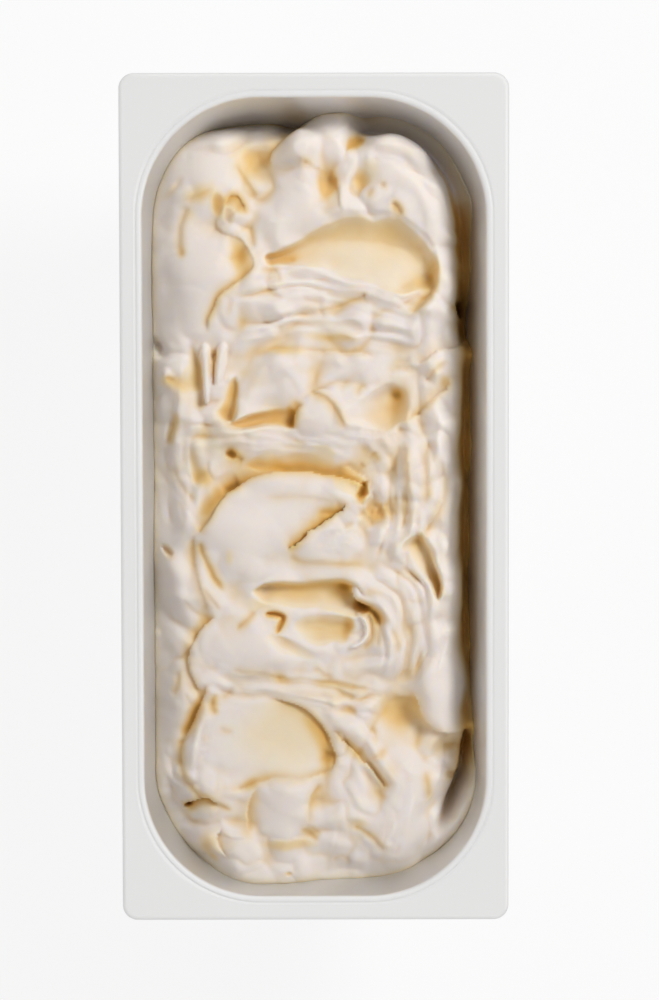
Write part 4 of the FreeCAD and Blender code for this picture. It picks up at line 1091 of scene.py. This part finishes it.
def top_grid():
    """Even rows between the straight walls and rows by angle in the round ends; columns across."""
    width, length, radius = mouth_at(GELATO_LEVEL)
    straight = length / 2 - radius
    middle = np.linspace(-straight, straight, int(2 * straight / GRID_STEP))
    end = straight + radius * np.sin(np.linspace(0, math.pi / 2, END_ROWS + 1)[1:])
    rows = np.concatenate([-end[::-1], middle, end])
    columns = np.linspace(-1, 1, int(width / GRID_STEP))
    y = np.repeat(rows[:, None], len(columns), axis=1)
    x = columns[None, :] * half_span(y, width, length, radius)
    return x, y


def top_points(x, y, top):
    """The top's points: the mass follows the leaning wall, and a lip hangs over what it lies on."""
    lean_out = (top.z - GELATO_LEVEL) * WALL_DRAFT * np.exp(-np.maximum(top.inside, 0) / LEAN_REACH)
    px = x + top.lean_x + np.sign(x) * lean_out * (np.abs(x) > NEAR_SIDES)
    py = y + top.lean_y + np.sign(y) * lean_out * (np.abs(y) > NEAR_ENDS)
    return np.stack([px, py, top.z], -1).reshape(-1, 3)


def skirt_rings(edge_x, edge_y):
    """The top's edge carried down along the wall and in over the rounded base."""
    width, length, radius = mouth_at(GELATO_LEVEL)
    share_x = edge_x / np.maximum(half_span(edge_y, width, length, radius), 1)
    levels = [(height, 0.0) for height in SKIRT_HEIGHTS]
    for angle in np.radians(SKIRT_ANGLES):
        level = SHEET + BASE_BEND * (1 - math.sin(angle))
        levels.append((level, BASE_BEND * (1 - math.cos(angle))))
    for height, inset in levels:
        w, l, r = mouth_at(height)
        y = edge_y / length * (l - 2 * inset)
        x = share_x * half_span(y, w - 2 * inset, l - 2 * inset, r - inset)
        yield np.stack([x, y, np.full_like(x, height + SKIRT_GAP)], -1)


def build_gelato():
    """The mass in one mesh: its worked top, its sides along the steel and its flat base."""
    x, y = top_grid()
    top = GelatoTop(x, y)
    for stroke in ALL_STROKES:
        stroke(top)
    top.finish()
    # painted shade: how far a place lies below its blurred surroundings, so that hollows are tinted warmer
    # and darker
    painted_hollow_shade = 0.5 * (blurred(top.z, 3) - top.z) + 0.5 * (blurred(top.z, 9) - top.z)
    tints = {
        "painted_fold_shade": 0.9 * blurred(top.glow, 1),
        "cream": top.cream,
        "painted_hollow_shade": painted_hollow_shade * ease((top.inside - 5) / 7),
    }
    index = np.arange(x.size).reshape(x.shape)
    corners = [index[:-1, :-1], index[:-1, 1:], index[1:, 1:], index[1:, :-1]]
    ring = np.concatenate([index[0, :], index[1:, -1], index[-1, -2::-1], index[-2:0:-1, 0]])
    points, quads = [top_points(x, y, top)], [np.stack(corners, -1).reshape(-1, 4)]
    for lower_points in skirt_rings(x.ravel()[ring], y.ravel()[ring]):
        lower = sum(len(p) for p in points) + np.arange(len(ring))
        points.append(lower_points)
        quads.append(np.stack([ring, lower, np.roll(lower, -1), np.roll(ring, -1)], -1))
        ring = lower
    points, quads = np.concatenate(points) * MM, np.concatenate(quads)
    mesh = bpy.data.meshes.new("folded_gelato")
    mesh.from_pydata(points.tolist(), [], quads.tolist() + [ring[::-1].tolist()])
    mesh.polygons.foreach_set("use_smooth", [True] * len(quads) + [False])
    for name, tint in tints.items():
        layer = mesh.attributes.new(name, "FLOAT", "POINT")
        layer.data.foreach_set("value", np.pad(tint.ravel(), (0, len(points) - x.size)))
    mesh.update()
    made = bpy.data.objects.new("folded_gelato", mesh)
    bpy.context.collection.objects.link(made)
    return made


def vanilla_gelato():
    """White cream that light goes into, yellower where it was scraped, with painted amber glow and brown
    shade deep in the folds and hollows.
    """
    material, tree, shader = new_material("vanilla gelato")
    place = add(tree, "TexCoord").outputs["Object"]
    painted_fold_shade, cream, painted_hollow_shade = (
        add(tree, "Attribute", attribute_name=name).outputs["Fac"] for name in ("painted_fold_shade", "cream", "painted_hollow_shade")
    )
    # painted shade: hollows are tinted warmer and darker than their surroundings, and in soft clouds more so
    cloud = add(tree, "TexNoise", Vector=place, Scale=34.0, Detail=3.0).outputs["Fac"]
    clouded = {"From Min": 0.35, "From Max": 0.65, "To Min": 0.13, "To Max": 0.32}
    warm = add(tree, "MapRange", Value=cloud, **clouded).outputs["Result"]
    deep = add(tree, "MapRange", Value=painted_hollow_shade, **{"From Max": 2.2}).outputs["Result"]
    warmth = add(tree, "Math", deep, warm, operation="MULTIPLY").outputs[0]
    amount = add(tree, "Math", painted_fold_shade, warmth, operation="ADD", use_clamp=True).outputs[0]
    ramp = add(tree, "ValToRGB", Fac=amount)
    marks = ramp.color_ramp.elements
    marks[0].color = (1, 1, 1, 1)
    marks[1].color = (*FOLD_SHADE_TINTS[-1][1], 1)
    for position, colour in FOLD_SHADE_TINTS[:-1]:
        marks.new(position).color = (*colour, 1)
    whites = {"A": (*MILK_WHITE, 1), "B": (*SCRAPED_CREAM_AND_TAN_SHADE, 1)}
    white = add(tree, "Mix", data_type="RGBA", Factor=cream, **whites).outputs["Result"]
    painted_shade_colour = add(
        tree, "Mix", data_type="RGBA", blend_type="MULTIPLY", Factor=1.0, A=white, B=ramp.outputs["Color"]
    )
    fine = add(tree, "TexNoise", Vector=place, Scale=420.0, Detail=4.0).outputs["Fac"]
    bump = add(tree, "Bump", Height=fine, Strength=0.12, Distance=0.0004)
    feed(shader, Roughness=0.42, IOR=1.36, Normal=bump.outputs["Normal"], **{
        "Base Color": painted_shade_colour.outputs["Result"],
        "Subsurface Weight": 0.75,
        "Subsurface Radius": (1.0, 0.84, 0.50),
        "Subsurface Scale": 0.0048,
        "Specular IOR Level": 0.35,
    })
    return material


gelato = build_gelato()
gelato.data.materials.append(vanilla_gelato())
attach(gelato, "root")
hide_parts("gelato")

# ------------------------------------------------------------------ table, light and camera
# A white table top in a white room, with a big soft lamp over the far right corner and a weaker
# one over the near left. The camera hangs nearly straight above the pan.

FLOOR_HALF, FLOOR_DROP = 3.0, 0.0002
TABLE_WHITE = 0.86
PLAIN_SHARE = 0.86  # the rest of what the camera sees is the table's own light and shade
floor_mesh = bpy.data.meshes.new("table top")
floor_corners = [(x * FLOOR_HALF, y * FLOOR_HALF, 0) for x, y in ((-1, -1), (1, -1), (1, 1), (-1, 1))]
floor_mesh.from_pydata(floor_corners, [], [(0, 1, 2, 3)])
floor = bpy.data.objects.new("table top", floor_mesh)
floor.location.z = -FLOOR_DROP
bpy.context.collection.objects.link(floor)


def white_table():
    """Matt white, which the camera and shiny steel see as plain white with a faint shadow."""
    material, tree, shader = new_material("white table")
    feed(shader, Roughness=0.9, **{"Base Color": (*[TABLE_WHITE] * 3, 1), "Specular IOR Level": 0.1})
    plain = add(tree, "Emission", Color=(1, 1, 1, 1), Strength=1.0)
    ray = add(tree, "LightPath").outputs
    seen = add(tree, "Math", ray["Is Camera Ray"], ray["Is Glossy Ray"], operation="MAXIMUM")
    seen = add(tree, "Math", seen.outputs[0], ray["Is Transmission Ray"], operation="MAXIMUM")
    share = add(tree, "Math", seen.outputs[0], PLAIN_SHARE, operation="MULTIPLY")
    mix = add(tree, "MixShader", share.outputs[0], shader.outputs["BSDF"], plain.outputs["Emission"])
    out = next(n for n in tree.nodes if n.type == "OUTPUT_MATERIAL")
    feed(out, Surface=mix.outputs["Shader"])
    return material


floor.data.materials.append(white_table())

# The camera sees a plain white room. Shiny things see it in soft bands, which follow each other
# from the near left to the far right, where the key lamp is.
ROOM_LIGHT = 0.31
ROOM_BANDS = (  # how far across the room, and how bright it looks there
    (0.0, 0.60), (0.35, 0.75), (0.44, 0.95), (0.49, 0.85), (0.525, 0.50),
    (0.58, 0.42), (0.64, 0.75), (0.74, 1.0), (1.0, 0.75),
)
BAND_STRENGTH = 1.45
TOWARD_KEY_LAMP = (0.77, 0.64, 0)
world = bpy.data.worlds.new("white room")
bpy.context.scene.world = world
world.use_nodes = True
tree = world.node_tree
ray = add(tree, "LightPath").outputs
place = add(tree, "TexCoord").outputs["Generated"]
toward_lamp = add(tree, "VectorMath", place, TOWARD_KEY_LAMP, operation="DOT_PRODUCT")
across = add(tree, "MapRange", Value=toward_lamp.outputs["Value"], **{"From Min": -1.0})
mirrored = add(tree, "ValToRGB", Fac=across.outputs["Result"])
marks = mirrored.color_ramp.elements
for position, brightness in ROOM_BANDS[1:-1]:
    marks.new(position)
for mark, (position, brightness) in zip(marks, ROOM_BANDS):
    mark.color = (brightness, brightness, brightness, 1)
bands = add(tree, "Math", mirrored.outputs["Color"], BAND_STRENGTH, operation="MULTIPLY").outputs[0]
shiny = add(tree, "Mix", Factor=ray["Is Glossy Ray"], A=ROOM_LIGHT, B=bands).outputs["Result"]
plain = add(tree, "Math", ray["Is Camera Ray"], ray["Is Transmission Ray"], operation="MAXIMUM")
level = add(tree, "Mix", Factor=plain.outputs[0], A=shiny, B=1.0).outputs["Result"]
feed(tree.nodes["Background"], Color=(1, 1, 1, 1), Strength=level)


def soft_lamp(name, place, size, watts):
    """Round lamp, as wide as its size, that faces the middle of the pan's mouth."""
    data = bpy.data.lights.new(name, "AREA")
    data.shape = "DISK"
    data.size = size
    data.energy = watts
    lamp = bpy.data.objects.new(name, data)
    lamp.location = place
    toward = Vector((0, 0, PAN_HEIGHT * MM)) - Vector(place)
    lamp.rotation_euler = toward.to_track_quat("-Z", "Y").to_euler()
    lamp.visible_glossy = False
    bpy.context.collection.objects.link(lamp)


soft_lamp("key lamp", (0.76, 0.62, 1.12), 0.50, 13.0)
soft_lamp("fill lamp", (-0.80, -0.66, 0.80), 0.90, 3.4)

# The camera hangs 0.9 m above the rim, a little beyond the pan's middle, and looks 2 degrees back.
CAMERA_OVER_RIM = 0.900
CAMERA_LENS = 76.46
CAMERA_TILT = math.radians(2.084)
CAMERA_ROLL = -0.0021
CAMERA_ASIDE, CAMERA_BEYOND = 0.00627, 0.03243
camera_data = bpy.data.cameras.new("overhead camera")
camera_data.lens = CAMERA_LENS
camera_data.sensor_width = 36.0
camera = bpy.data.objects.new("overhead camera", camera_data)
bpy.context.collection.objects.link(camera)
spot = Matrix.Translation((CAMERA_ASIDE, CAMERA_BEYOND, PAN_HEIGHT * MM + CAMERA_OVER_RIM))
aim = Matrix.Rotation(-CAMERA_TILT, 4, "X") @ Matrix.Rotation(CAMERA_ROLL, 4, "Z")
camera.matrix_world = spot @ aim
bpy.context.scene.camera = camera

bpy.context.scene.view_settings.view_transform = "Standard"
